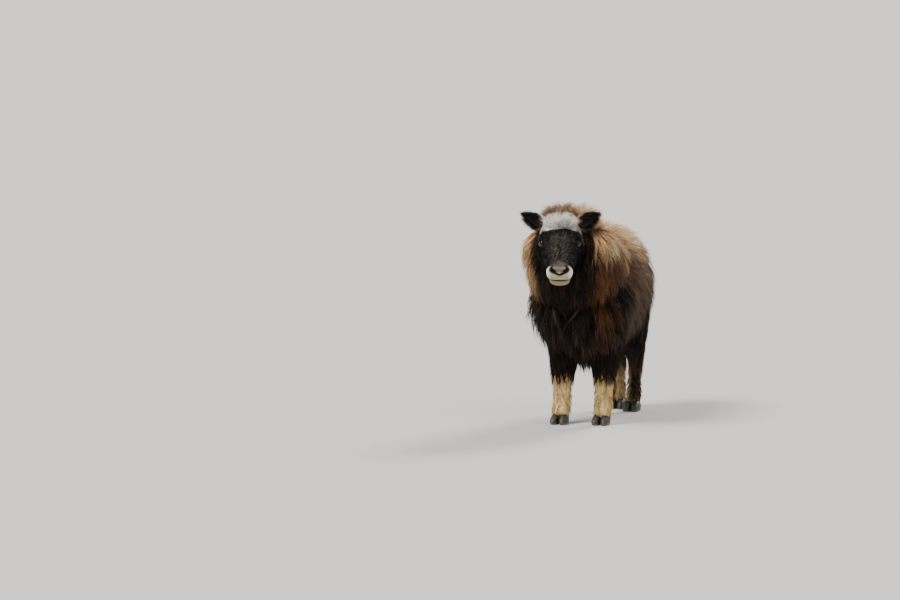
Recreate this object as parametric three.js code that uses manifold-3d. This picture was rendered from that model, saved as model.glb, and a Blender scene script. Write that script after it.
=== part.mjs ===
// A muskox calf about four months old, standing alert with its head turned to its left front.
// Millimetres, +Z up. It faces -Y, its left side is +X, and the floor is z = 0.
import * as THREE from "three";
import { mergeVertices } from "three/addons/utils/BufferGeometryUtils.js";
import Module from "manifold-3d";

const wasm = await Module();
wasm.setup();
const { Vector3, Matrix4, MathUtils } = THREE;

// Driving dimensions
const WITHERS = 780; // height of the shoulder hump over its coat
const HEAD = 0.39 * WITHERS; // poll to nose tip
const HEAD_TURN = 17; // degrees to the calf's left
const HEAD_DROP = 42; // degrees that the face slopes below level
const EYES_AT = [-0.004, -0.602, 0.956]; // the head's origin, between the eyes, in withers heights
const EYE_SPREAD = 0.222; // half the distance between the eyes, in head lengths
const GAP = 0.35; // clear space between neighbouring pieces
const CORE_SHARE = 0.5; // part of the coat's depth that a coated core fills
const PLAIN = false; // true leaves the locks off and fills the coat's depth with the cores

// Colours, as the calf wears them
const COLOURS = {
  dark: 0x2b1f19,
  rust: 0x7a4a2c,
  pale: 0xb3a08a,
  white: 0xe6dccb,
  cream: 0xc9b48c,
  black: 0x16120f,
  eye: 0x0a0706,
  horn: 0x2c2620,
};

// Numbers drawn in a fixed order from a seed, each from 0 to 1
function seeded(seed) {
  let state = seed;
  return () => {
    state = (state + 0x6d2b79f5) | 0;
    let mixed = Math.imul(state ^ (state >>> 15), 1 | state);
    mixed = (mixed + Math.imul(mixed ^ (mixed >>> 7), 61 | mixed)) ^ mixed;
    return ((mixed ^ (mixed >>> 14)) >>> 0) / 4294967296;
  };
}

// A closed three.js geometry as a solid for cutting and joining
function solidOf(geometry) {
  geometry.deleteAttribute("normal");
  geometry.deleteAttribute("uv");
  const merged = mergeVertices(geometry, 1e-3);
  const triVerts = new Uint32Array(merged.index.array);
  const vertProperties = merged.getAttribute("position").array;
  const made = new wasm.Manifold(new wasm.Mesh({ numProp: 3, vertProperties, triVerts }));
  if (made.volume() > 0) return made;
  for (let i = 0; i < triVerts.length; i += 3)
    [triVerts[i + 1], triVerts[i + 2]] = [triVerts[i + 2], triVerts[i + 1]];
  return new wasm.Manifold(new wasm.Mesh({ numProp: 3, vertProperties, triVerts }));
}

const join = (solids) => wasm.Manifold.union(solids);

// The largest closed surface of a solid, without loose scraps and sealed hollows
function largest(solid) {
  return solid.decompose().reduce((a, b) => (b.volume() > a.volume() ? b : a));
}

function geometryOf(solid) {
  const { vertProperties, triVerts } = solid.getMesh();
  return new THREE.BufferGeometry()
    .setAttribute("position", new THREE.BufferAttribute(vertProperties, 3))
    .setIndex(new THREE.BufferAttribute(triVerts, 1));
}

// An egg with its own reach along each axis, turned by the given angles in degrees
function egg(centre, reach, turn = [0, 0, 0], sides = 20, rings = 12) {
  const ball = new THREE.SphereGeometry(1, sides, rings);
  ball.scale(...reach);
  const angles = new THREE.Euler(...turn.map(MathUtils.degToRad));
  ball.applyMatrix4(new Matrix4().makeRotationFromEuler(angles).setPosition(...centre));
  return solidOf(ball);
}

// A closed form along a path. Each station is a row of place x, y, z, then half width,
// reach on the side of `up` and reach on the far side, all in shares of `unit`.
class Limb {
  constructor(rows, unit, { up = [0, 0, 1], coat = 0, square = 2.2, ends = 0.15, frame = null, swell = null } = {}) {
    const places = rows.map(([x, y, z]) => new Vector3(x, y, z).multiplyScalar(unit));
    const reaches = rows.map(([, , , ...reach]) => new Vector3(...reach).multiplyScalar(unit));
    this.up = new Vector3(...up);
    if (frame) {
      for (const place of places) place.applyMatrix4(frame);
      this.up.transformDirection(frame);
    }
    this.path = new THREE.CatmullRomCurve3(places, false, "catmullrom");
    this.reach = new THREE.CatmullRomCurve3(reaches, false, "catmullrom");
    this.length = this.path.getLength();
    this.coat = coat;
    this.core = coat * (PLAIN ? 0 : CORE_SHARE);
    this.square = square;
    this.ends = ends;
    this.swell = swell;
  }

  section(u, inset) {
    const margin = (inset + 1) / this.length;
    const t = margin + (1 - 2 * margin) * u;
    const centre = this.path.getPoint(t);
    const along = this.path.getTangent(t);
    const side = new Vector3().crossVectors(along, this.up).normalize();
    const above = new Vector3().crossVectors(side, along);
    const nearEnd = Math.min(u, 1 - u, this.ends) / this.ends;
    const round = Math.sqrt(1 - (1 - nearEnd) ** 2);
    const reach = this.reach.getPoint(t).subScalar(inset).multiplyScalar(round);
    return { centre, along, side, above, reach };
  }

  point(u, angle, inset = this.core) {
    const { centre, side, above, reach } = this.section(u, inset);
    const bulge = (x) => Math.sign(x) * Math.abs(x) ** (2 / this.square);
    const lift = bulge(Math.sin(angle));
    const from = new Vector3()
      .addScaledVector(side, reach.x * bulge(Math.cos(angle)))
      .addScaledVector(above, lift * (lift > 0 ? reach.y : reach.z));
    const at = centre.add(from);
    return this.swell ? at.addScaledVector(from.normalize(), this.swell(at)) : at;
  }

  // How the surface runs at a point: along the path, round it, and straight out
  slopes(u, angle) {
    const step = 0.01;
    const along = this.point(u + step, angle).sub(this.point(u - step, angle));
    const around = this.point(u, angle + step).sub(this.point(u, angle - step));
    along.divideScalar(2 * step);
    around.divideScalar(2 * step);
    const out = new Vector3().crossVectors(along, around).normalize();
    const away = this.point(u, angle).sub(this.section(u, 0).centre);
    if (out.dot(away) < 0) out.negate();
    return { along, around, out };
  }

  solid(sides, rings, inset = this.core) {
    const ball = new THREE.SphereGeometry(1, sides, rings);
    const place = ball.getAttribute("position");
    for (let i = 0; i < place.count; i++) {
      const u = MathUtils.clamp((1 - place.getY(i)) / 2, 0, 1);
      const angle = Math.atan2(place.getZ(i), place.getX(i));
      place.setXYZ(i, ...this.point(u, angle, inset));
    }
    return solidOf(ball);
  }

  // Whether a point lies in the core, or within `margin` outside it
  holds(point, margin = 0) {
    const slices = 60;
    for (let i = 1; i < slices; i++) {
      const { centre, along, side, above, reach } = this.section(i / slices, this.core - margin);
      const offset = point.clone().sub(centre);
      if (Math.abs(offset.dot(along)) > this.length / slices) continue;
      const lift = offset.dot(above);
      const across = Math.abs(offset.dot(side) / reach.x) ** this.square;
      const height = Math.abs(lift / (lift > 0 ? reach.y : reach.z)) ** this.square;
      if (across + height < 1) return true;
    }
    return false;
  }
}

// Locks of hair. The lie is a function that gives the combed direction at a point.
const LOCK_SINK = 9;

// The line of one lock from its root, with the way across it and the way out at each step
function strand(limb, lie, { u, angle, length, rise, hang, sway, count }) {
  const step = length / count;
  const free = limb.point(u, angle);
  const line = [];
  const outs = [];
  for (let i = 0; i <= count; i++) {
    const { along, around, out } = limb.slopes(u, angle);
    const share = i / count;
    const on = limb.point(u, angle).lerp(free, hang);
    line.push(on.addScaledVector(out, i ? rise * share : -LOCK_SINK));
    outs.push(out);
    const way = lie(limb.point(u, angle)).applyAxisAngle(out, sway);
    const flat = way.clone().addScaledVector(out, -way.dot(out)).normalize();
    const [aa, ab, bb] = [along.dot(along), along.dot(around), around.dot(around)];
    const [fa, fb] = [flat.dot(along) * step, flat.dot(around) * step];
    const span = aa * bb - ab * ab;
    u += (fa * bb - fb * ab) / span;
    angle += (fb * aa - fa * ab) / span;
    if (u < 0.01 || u > 0.99) {
      u = u < 0.5 ? 0.02 - u : 1.98 - u; // over the end of the limb to its far side
      angle += Math.PI;
    }
    free.addScaledVector(flat.lerp(way, hang).normalize(), step);
  }
  const steps = [];
  let across = null;
  line.forEach((at, i) => {
    const before = line[Math.max(i - 1, 0)];
    const after = line[Math.min(i + 1, count)];
    const tangent = after.clone().sub(before).normalize();
    across ??= new Vector3().crossVectors(tangent, outs[0]);
    across = across.clone().addScaledVector(tangent, -across.dot(tangent)).normalize();
    const out = new Vector3().crossVectors(across, tangent);
    if (out.dot(outs[i]) < 0) out.negate();
    steps.push({ at, across, out, tangent });
  });
  return steps;
}

// A flat, tapered lock: a three-sided cone with its ridge outwards, bent along its strand.
// Its sharp edges and its tip grow further than its faces, so that the faces end up clear.
function lockSolid({ steps, width, thickness }, grow) {
  const count = steps.length - 1;
  const cone = new THREE.ConeGeometry(1, 1, 3, count);
  const place = cone.getAttribute("position");
  const corner = Math.sin(Math.PI / 3);
  for (let i = 0; i < place.count; i++) {
    const t = MathUtils.clamp(place.getY(i) + 0.5, 0, 1);
    const { at, across, out, tangent } = steps[Math.round(t * count)];
    const taper = Math.max(1 - t, 1e-6);
    const aside = place.getX(i) / taper / corner;
    const ridge = (place.getZ(i) / taper + 0.5) / 1.5;
    const half = t > 0.999 ? 0 : width * Math.sin(Math.PI * (0.25 + 0.75 * t)) ** 0.8 + 6 * grow;
    const deep = t > 0.999 ? 0 : thickness * Math.sqrt(1 - t) + 3 * grow;
    const tip = t > 0.999 ? 14 * grow : 0;
    const made = at
      .clone()
      .addScaledVector(across, aside * half)
      .addScaledVector(out, ridge * deep - (t > 0.999 ? 0 : grow))
      .addScaledVector(tangent, tip);
    place.setXYZ(i, ...made);
  }
  return solidOf(cone);
}

// Locks spread evenly over a limb where `where` allows, no closer than their spacing
function scatter(limb, lie, style, where) {
  if (PLAIN) return [];
  const random = seeded(style.seed);
  const vary = (size, share) => size * (1 + share * (2 * random() - 1));
  const set = [];
  for (let n = 0; n < style.tries; n++) {
    const u = MathUtils.lerp(style.from, 0.95, random());
    const angle = random() * 2 * Math.PI;
    const at = limb.point(u, angle);
    const { out } = limb.slopes(u, angle);
    const way = lie(at);
    const flat = way.addScaledVector(out, -way.dot(out)).normalize();
    const across = new Vector3().crossVectors(flat, out);
    const crowded = set.some((other) => {
      const away = at.clone().sub(other.at);
      if (out.dot(other.out) < 0.2) return false;
      return Math.hypot(away.dot(across) / style.across, away.dot(flat) / style.along) < 1;
    });
    if (crowded || !where(at, u, out)) continue;
    const length = vary(style.length(at), 0.15);
    const rise = vary(style.rise, 0.15);
    const sway = (random() - 0.5) * style.sway;
    const hang = style.hang(at, out);
    const steps = strand(limb, lie, { u, angle, length, rise, hang, sway, count: style.count });
    set.push({ at, out, steps, width: vary(style.width, 0.1), thickness: style.thickness });
  }
  return set;
}

// Torso. Rows run from the chest to the rump, in hundredths of the withers height.
const PERCENT = WITHERS / 100;
const TORSO_COAT = 50;
const torso = new Limb(
  [
    [0, -45, 67, 19, 14, 17],
    [0, -39, 67, 25, 20, 24],
    [0, -28, 67.5, 27, 30.5, 32],
    [0, -13, 68, 26, 34.5, 34.5],
    [0, 6, 67, 23.8, 34, 32.5],
    [0, 23, 66.2, 20.8, 29.8, 29.2],
    [0, 37, 65.5, 17.8, 24.8, 24.5],
    [0, 47, 66, 14.5, 17.5, 18],
    [0, 52.5, 66, 10.5, 12, 12],
  ],
  PERCENT,
  { coat: TORSO_COAT, square: 2.5 },
);

// Neck with its ruff, from inside the head down into the torso
const NECK_COAT = 56;
const neck = new Limb(
  [
    [-1.2, -42.5, 117.5, 14.5, 9, 9],
    [-1.4, -43, 109, 18, 12, 12],
    [-1.8, -41, 97, 24.2, 15, 17],
    [-1.2, -36.5, 87, 26.6, 21, 21],
    [0, -29, 77, 26, 25, 23],
    [0, -20, 71, 22, 25, 23],
  ],
  PERCENT,
  { up: [0, 1, 1], coat: NECK_COAT, ends: 0.13 },
);

// Legs, from inside the torso to the coronet, for the left side
const FRONT_ROWS = [
  [10, -20, 57, 9, 10, 11],
  [11.2, -20.5, 44, 9.3, 10, 12],
  [11, -22.5, 34, 8.2, 8, 9],
  [10.8, -24.5, 25, 6.2, 6, 6.4],
  [10.7, -25, 17, 5.2, 5, 5.3],
  [10.7, -25.4, 10.5, 5.3, 5.1, 5.6],
  [10.7, -26.6, 5.8, 5.4, 5.1, 4.8],
  [10.6, -27.4, 3.2, 4.9, 4.8, 4.1],
];
const HIND_ROWS = [
  [7, 25, 66, 10.5, 14, 13],
  [7.6, 28, 52, 9.6, 13.5, 13.5],
  [7.2, 32.5, 40, 7.8, 10, 9.2],
  [6.6, 38.5, 31, 5.2, 6.2, 5.6],
  [6.2, 40.8, 25, 4.4, 4.9, 4.7],
  [6.1, 39, 16, 4.1, 4.2, 4.4],
  [6.1, 38, 10, 4.4, 4.4, 4.9],
  [6.1, 36.8, 5.6, 4.5, 4.4, 4.1],
  [6.1, 36, 3.2, 4.3, 4.3, 3.8],
];
const LEG_COAT = 22;
// Each foot's own place beside its mirror image: x and y, in hundredths of the withers height
const LEGS = [
  { name: "front_left", rows: FRONT_ROWS, side: 1, step: [0, 1], seam: 23.5, seed: 31 },
  { name: "front_right", rows: FRONT_ROWS, side: -1, step: [0, -3], seam: 23.5, seed: 32 },
  { name: "hind_left", rows: HIND_ROWS, side: 1, step: [0, 0], seam: 25, seed: 33 },
  { name: "hind_right", rows: HIND_ROWS, side: -1, step: [-1.6, 9], seam: 25, seed: 34 },
];
for (const leg of LEGS) {
  const reachTop = leg.rows[0][2];
  const rows = leg.rows.map(([x, y, z, ...reach]) => {
    const share = 1 - z / reachTop;
    return [leg.side * (x + leg.step[0] * share), y + leg.step[1] * share, z, ...reach];
  });
  leg.limb = new Limb(rows, PERCENT, { up: [0, -1, 0], ends: 0.08, square: 2.1, coat: LEG_COAT * 0.4 });
  const [x, y] = rows.at(-1);
  leg.foot = [x * PERCENT, y * PERCENT];
}

// Head, built level and facing -Y, then dropped, turned and put in its place
const headFrame = new Matrix4()
  .makeRotationZ(MathUtils.degToRad(HEAD_TURN))
  .multiply(new Matrix4().makeRotationX(MathUtils.degToRad(HEAD_DROP)))
  .setPosition(...EYES_AT.map((share) => share * WITHERS));
const HEAD_PERCENT = HEAD / 100;
const HEAD_COAT = 16;
const headBack = headFrame.clone().invert();
// Bone and flesh under the skin: place, spread and height in hundredths of the head length
const HEAD_SWELLS = [
  { at: [24, 3, 14], spread: [8, 11, 7], height: 2.4 }, // brow over the eye
  { at: [26, -15, 4], spread: [8, 7, 7], height: -1.8 }, // hollow before the eye
  { at: [28, 10, -14], spread: [12, 14, 12], height: 1.6 }, // cheek
  { at: [14, 20, 24], spread: [9, 9, 8], height: 1.6 }, // bud of the horn, under the crown
  { at: [0, -25, 12], spread: [9, 12, 6], height: 0.8 }, // bridge of the nose
];
const NOSE_SWELLS = [
  { at: [10.4, -46.5, 5], spread: [5, 6, 5], height: 2.2 }, // wing over the nostril
  { at: [13, -44.5, -11], spread: [7, 9, 5], height: 1.4 }, // upper lip
  { at: [0, -48.5, 8], spread: [5, 6, 4], height: -0.8 }, // dip between the nostrils
];
const headSwell = (swells) => (at) => {
  const [x, y, z] = at.clone().applyMatrix4(headBack).divideScalar(HEAD_PERCENT);
  const near = ({ at: [ax, ay, az], spread: [sx, sy, sz] }) =>
    Math.exp(-(((Math.abs(x) - ax) / sx) ** 2 + ((y - ay) / sy) ** 2 + ((z - az) / sz) ** 2));
  return HEAD_PERCENT * swells.reduce((sum, bump) => sum + bump.height * near(bump), 0);
};
const headLimb = new Limb(
  [
    [0, 43, -7, 18, 15, 20],
    [0, 33, -5, 27, 22, 29],
    [0, 18, -3, 31.5, 25.5, 33],
    [0, 3, 0, 30.5, 21.5, 32],
    [0, -11, -1, 27, 17.5, 29],
    [0, -24, -2.5, 23, 15, 24.5],
    [0, -35, -4, 20, 12.8, 20.5],
    [0, -42, -4.6, 17.5, 11.2, 17.5],
    [0, -47, -5, 13.5, 9, 13],
  ],
  HEAD_PERCENT,
  { coat: HEAD_COAT, square: 2.3, ends: 0.13, frame: headFrame, swell: headSwell(HEAD_SWELLS) },
);
const inHead = (x, y, z) => new Vector3(x, y, z).multiplyScalar(HEAD_PERCENT).applyMatrix4(headFrame);
const headEgg = (centre, reach, turn, grow = 0, sides = 16, rings = 10) =>
  egg(
    centre.map((share) => share * HEAD_PERCENT),
    reach.map((share) => share * HEAD_PERCENT + grow),
    turn,
    sides,
    rings,
  ).transform(headFrame.toArray());

const SIDES = [
  { side: "left", sign: 1 },
  { side: "right", sign: -1 },
];
const EYE_PLACE = [EYE_SPREAD * 100 + 0.6, -4, 5.6];
const eyeBall = (sign, grow) =>
  headEgg([sign * EYE_PLACE[0], EYE_PLACE[1], EYE_PLACE[2]], [5, 5, 5], [0, 0, 0], grow, 12, 9);

// Muzzle: a blunt nose and upper lip with a chin below, tipped up from the slope of the face
const noseLimb = new Limb(
  [
    [0, -22, -8, 17, 10, 13],
    [0, -33, -7.6, 18, 11, 14.4],
    [0, -42.5, -6, 17.4, 11.4, 13.6],
    [0, -52, -3.6, 15.4, 10.6, 11.8],
  ],
  HEAD_PERCENT,
  { coat: 5, square: 2.6, ends: 0.12, frame: headFrame, swell: headSwell(NOSE_SWELLS) },
);
const chinLimb = new Limb(
  [
    [0, -18, -19, 12.4, 8, 8],
    [0, -34, -20.5, 13.8, 7.6, 8.4],
    [0, -44, -20, 13.2, 7, 8.2],
    [0, -52, -18.5, 10.8, 6, 7],
  ],
  HEAD_PERCENT,
  { coat: 5, square: 2.4, ends: 0.17, frame: headFrame },
);
const muzzleZone = (grow) => headEgg([0, -50, -10], [30, 21, 25], [8, 0, 0], grow, 18, 12);

// The rims of the lids, a ring laid round each eye, lower at its front corner
function lids(sign, grow) {
  const rim = new THREE.TorusGeometry(5.3 * HEAD_PERCENT, 1.1 * HEAD_PERCENT + grow, 4, 12);
  rim.scale(1.1, 0.74, 1);
  rim.rotateZ(MathUtils.degToRad(sign * 14));
  rim.rotateX(MathUtils.degToRad(90));
  rim.rotateZ(MathUtils.degToRad(sign * 58));
  rim.translate(...[sign * (EYE_PLACE[0] + 2), EYE_PLACE[1] - 1.5, EYE_PLACE[2]].map((v) => v * HEAD_PERCENT));
  return solidOf(rim.applyMatrix4(headFrame));
}

function headCore(grow) {
  const core = [
    headLimb.solid(24, 20, headLimb.core - grow),
    noseLimb.solid(18, 11, noseLimb.core - grow),
    chinLimb.solid(14, 9, chinLimb.core - grow),
  ];
  const cuts = [headEgg([0, -47.5, -14.4], [20, 13, 0.8], [-8, 0, 0], -grow, 18, 6)]; // mouth line
  for (const { sign } of SIDES) {
    core.push(lids(sign, grow));
    cuts.push(eyeBall(sign, GAP - grow));
    // nostril: a deep slot that runs down and in, from the wing to the middle
    cuts.push(headEgg([sign * 9.4, -50, 1.2], [4.6, 6, 2.4], [0, sign * -36, sign * 18], -grow, 10, 7));
    cuts.push(headEgg([sign * 3.8, -52, -3.2], [4.8, 3, 1], [0, sign * -32, sign * 4], -grow, 8, 5));
  }
  return join(core).subtract(join(cuts));
}

// Ears: a leaf with its cup open to the front
const EAR_LENGTH = 110;
const EAR_HALF_WIDTH = 25;
const EAR_WALL = 5;
const EAR_ROWS = [
  [0, 0.6, 0.5, 0.45],
  [0.2, 0.95, 0.6, 0.5],
  [0.45, 1.1, 0.6, 0.45],
  [0.72, 0.75, 0.45, 0.35],
  [1, 0.18, 0.18, 0.18],
];
function earLimb(sign, open) {
  const turn = MathUtils.degToRad(HEAD_TURN);
  const out = new Vector3(sign * Math.cos(turn), sign * Math.sin(turn), 0);
  const forward = new Vector3(Math.sin(turn), -Math.cos(turn), 0);
  const way = out.multiplyScalar(0.88).addScaledVector(forward, -0.1);
  way.z = 0.42;
  way.normalize();
  const root = inHead(sign * 20, 24, 11);
  const rows = EAR_ROWS.map(([along, wide, front, back]) => [
    ...root.clone().addScaledVector(way, along * EAR_LENGTH),
    wide * EAR_HALF_WIDTH,
    front * EAR_HALF_WIDTH + open,
    back * EAR_HALF_WIDTH,
  ]);
  return new Limb(rows, 1, { up: forward.toArray(), square: 2, ends: 0.12 });
}
function ear(sign, grow) {
  const leaf = earLimb(sign, 0).solid(12, 9, -grow);
  return grow ? leaf : leaf.subtract(earLimb(sign, 30).solid(12, 8, EAR_WALL));
}

// Hooves: two claws to a foot, flat on the floor
const CLAW = [
  [0, 34, 16, 12, 14, 20],
  [0, 16, 18, 15, 22, 22],
  [0, -8, 17, 16, 24, 21],
  [0, -30, 12, 14, 14, 16],
  [0, -46, 7, 7, 6, 11],
];
const CLAW_OFFSET = 17.5;
function claw(leg, inner, grow) {
  const aside = leg.side * (inner ? -CLAW_OFFSET : CLAW_OFFSET);
  const [x, y] = leg.foot;
  const rows = CLAW.map(([, along, z, ...reach]) => [x + aside * (1 - along / 300), y - 4 + along, z, ...reach]);
  const shape = new Limb(rows, 1, { ends: 0.2, square: 2.6 }).solid(10, 7, -grow);
  const floor = new THREE.BoxGeometry(400, 400, 200).translate(x, y, -100 - grow);
  const between = new THREE.BoxGeometry(2 * 16.6, 400, 400).translate(x - aside, y, 0);
  return shape.subtract(join([solidOf(floor), solidOf(between)]));
}

// Tail, short and nearly lost in the coat of the rump
const tail = new Limb(
  [
    [0, 45, 77, 3, 3, 3],
    [0, 49.4, 75, 3.4, 3, 3],
    [0, 52.6, 69, 3.4, 2.8, 2.8],
    [0, 53.6, 61.5, 2.4, 1.8, 1.8],
  ],
  PERCENT,
  { up: [0, 1, 0], coat: 8 },
);

// The lie of the coat: back along the spine, down and back on the flank, straight down low
const SIDE_LIFT = 0.25;
function torsoLie(at) {
  const low = MathUtils.clamp((1.0 * WITHERS - at.z) / (0.62 * WITHERS), 0, 1);
  const backward = MathUtils.lerp(1, 0.22, low ** 0.6);
  const rear = MathUtils.smoothstep(at.y, 0.3 * WITHERS, 0.5 * WITHERS);
  const way = new Vector3(Math.sign(at.x) * SIDE_LIFT * (1 - low), backward * (1 - rear), 0);
  way.z = -MathUtils.lerp(0.12, 1, Math.max(low ** 0.7, rear));
  return way.normalize();
}

// Down and outwards over the ruff, back over the crest
function neckLie(at) {
  const crest = MathUtils.smoothstep(at.z, 1.02 * WITHERS, 1.12 * WITHERS);
  const way = new Vector3(Math.sign(at.x) * 0.35, 0.25, -1);
  return way.lerp(new Vector3(Math.sign(at.x) * 0.5, 0.5, -0.6), crest).normalize();
}

const legLie = () => new Vector3(0, 0.18, -1).normalize();

function headLie(at) {
  const local = at.clone().applyMatrix4(headBack);
  const high = MathUtils.smoothstep(local.z, 0, 0.15 * HEAD);
  const back = new Vector3(Math.sign(local.x) * 0.5, 1, 0.1).transformDirection(headFrame);
  return new Vector3(Math.sign(local.x) * 0.1, 0.4, -1).lerp(back, high).normalize();
}

// Skirt: no lock on the torso ends below the lowest hair of the chest and belly
const SKIRT_Z = 0.33 * WITHERS;
const torsoLocks = scatter(
  torso,
  torsoLie,
  {
    seed: 21,
    tries: 6000,
    from: 0.03,
    across: 67,
    along: 105,
    length: (at) => MathUtils.clamp((at.z - SKIRT_Z) * 1.02, 64, 175),
    width: 40,
    thickness: 13,
    rise: 24,
    sway: 0.3,
    count: 3,
    hang: (at) => MathUtils.smoothstep(0.56 * WITHERS - at.z, 0, 150),
  },
  (at, u, out) =>
    !neck.holds(at, 6) && !LEGS.some((leg) => leg.limb.holds(at, 2)) && out.z > -0.8,
);
const inSaddle = ({ at }) =>
  (at.x / 0.17) ** 2 + ((at.y - 0.1 * WITHERS) / 0.26) ** 2 + ((at.z - 0.93 * WITHERS) / 0.2) ** 2 <
  WITHERS ** 2;
const saddleZone = (grow) =>
  egg(
    [0, 0.1 * WITHERS, 0.93 * WITHERS],
    [0.17, 0.26, 0.2].map((reach) => reach * WITHERS + grow),
    [0, 0, 0],
    24,
    14,
  );
const saddleLocks = torsoLocks.filter(inSaddle);
const flankLocks = torsoLocks.filter((lock) => !inSaddle(lock));

const neckLocks = scatter(
  neck,
  neckLie,
  {
    seed: 12,
    tries: 4000,
    from: 0.1,
    across: 62,
    along: 97,
    length: (at) => MathUtils.lerp(160, 90, MathUtils.smoothstep(at.z, 700, 860)),
    width: 36,
    thickness: 13,
    rise: 30,
    sway: 0.3,
    count: 3,
    hang: () => 0.3,
  },
  (at) => !torso.holds(at, 0) && !headLimb.holds(at, 2) && at.z < 1.09 * WITHERS,
);

// The head's own locks: long on the cheek and jaw, none on the face
const headLocks = scatter(
  headLimb,
  headLie,
  {
    seed: 13,
    tries: 1500,
    from: 0.08,
    across: 40,
    along: 60,
    length: () => 82,
    width: 23,
    thickness: 9,
    rise: 24,
    sway: 0.3,
    count: 2,
    hang: () => 0.25,
  },
  (at, u, out) => {
    const local = at.clone().applyMatrix4(headBack).divideScalar(HEAD_PERCENT);
    const cheek = Math.abs(local.x) > 14 && local.z < 5 && local.y > -14;
    const jaw = local.z < -16 && local.y > -20;
    return (cheek || jaw) && !neck.holds(at, -6);
  },
);

// Crown: the woolly white pad over the brow, where the horns will grow
const crownLimb = new Limb(
  [
    [-23, 19, 15, 8, 7, 8],
    [-12, 20, 20, 13, 8.5, 9],
    [0, 20.5, 22, 14, 8.5, 9],
    [12, 20, 20, 13, 8.5, 9],
    [23, 19, 15, 8, 7, 8],
  ],
  HEAD_PERCENT,
  { coat: 16, ends: 0.25, frame: headFrame },
);
const crownLocks = scatter(
  crownLimb,
  () => new Vector3(0, -0.6, -1).transformDirection(headFrame),
  {
    seed: 14,
    tries: 500,
    from: 0.1,
    across: 30,
    along: 34,
    length: () => 46,
    width: 16,
    thickness: 7,
    rise: 8,
    sway: 0.9,
    count: 2,
    hang: () => 0,
  },
  (at) => !headLimb.holds(at, 0) && at.z > 1.06 * WITHERS,
);

const coatOf = (locks, grow) => locks.map((one) => lockSolid(one, grow));
const torsoCore = (grow) => torso.solid(20, 13, torso.core - grow);
const BLOCK = 3000; // wider and taller than the calf
const seamBlock = (z, above) =>
  solidOf(new THREE.BoxGeometry(BLOCK, BLOCK, BLOCK).translate(0, 0, z + (above ? BLOCK : -BLOCK) / 2));

// Every piece in the order in which each is cut clear of those before it
const pieces = [];
const piece = (name, colour, shape) => pieces.push({ name, colour, shape });

for (const { side, sign } of SIDES) piece(`eye_${side}`, "eye", (grow) => eyeBall(sign, grow - 0.01));
piece("muzzle", "cream", (grow) => headCore(grow).intersect(muzzleZone(grow)));
piece("head", "dark", (grow) => join([headCore(grow), ...coatOf(headLocks, grow)]));
for (const { side, sign } of SIDES) piece(`ear_${side}`, "black", (grow) => ear(sign, grow));
piece("crown", "white", (grow) =>
  join([crownLimb.solid(12, 10, crownLimb.core - grow), ...coatOf(crownLocks, grow)]),
);
piece("saddle", "pale", (grow) =>
  join([torsoCore(grow).intersect(saddleZone(grow)), ...coatOf(saddleLocks, grow)]),
);
piece("torso", "dark", (grow) => join([torsoCore(grow), ...coatOf(flankLocks, grow)]));
piece("neck", "rust", (grow) => join([neck.solid(20, 11, neck.core - grow), ...coatOf(neckLocks, grow)]));
piece("tail", "dark", (grow) => tail.solid(8, 7, tail.core - grow));
for (const leg of LEGS) {
  for (const inner of [true, false])
    piece(`hoof_${leg.name}_${inner ? "inner" : "outer"}`, "horn", (grow) => claw(leg, inner, grow));
  const seam = leg.seam * PERCENT;
  const style = { from: 0.08, tries: 400, across: 68, along: 104, width: 36, thickness: 9, rise: 13, sway: 0.2, count: 2 };
  const locks = scatter(
    leg.limb,
    legLie,
    { ...style, seed: leg.seed, length: () => 90, hang: () => 0.1 },
    (at) => at.z > seam + 55 && !torso.holds(at, 0) && !neck.holds(at, 0),
  );
  const whole = (grow) => leg.limb.solid(12, 13, leg.limb.core - grow);
  piece(`shank_${leg.name}`, "cream", (grow) =>
    whole(grow).subtract(seamBlock(seam + grow, true)),
  );
  piece(`leg_${leg.name}`, "dark", (grow) =>
    join([whole(grow).subtract(seamBlock(seam + GAP - grow, false)), ...coatOf(locks, grow)]),
  );
}

const SLIVER = 0.02; // edges shorter than this close up, so that each surface stays clean
const calf = new THREE.Group();
let taken = null;
for (const { name, colour, shape } of pieces) {
  const whole = shape(0);
  const own = largest((taken ? whole.subtract(taken) : whole).simplify(SLIVER));
  taken = taken ? taken.add(shape(GAP)) : shape(GAP);
  const material = new THREE.MeshStandardMaterial({ color: COLOURS[colour], roughness: 0.85 });
  const mesh = new THREE.Mesh(geometryOf(own), material);
  mesh.name = name;
  calf.add(mesh);
}

// The origin is on the floor, under the middle of the calf's box
const box = new THREE.Box3().setFromObject(calf);
calf.position.set(-(box.min.x + box.max.x) / 2, -(box.min.y + box.max.y) / 2, -box.min.z);

export default calf;
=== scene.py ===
import math

import bmesh
import bpy
import numpy as np
from mathutils import Matrix, Vector


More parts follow.
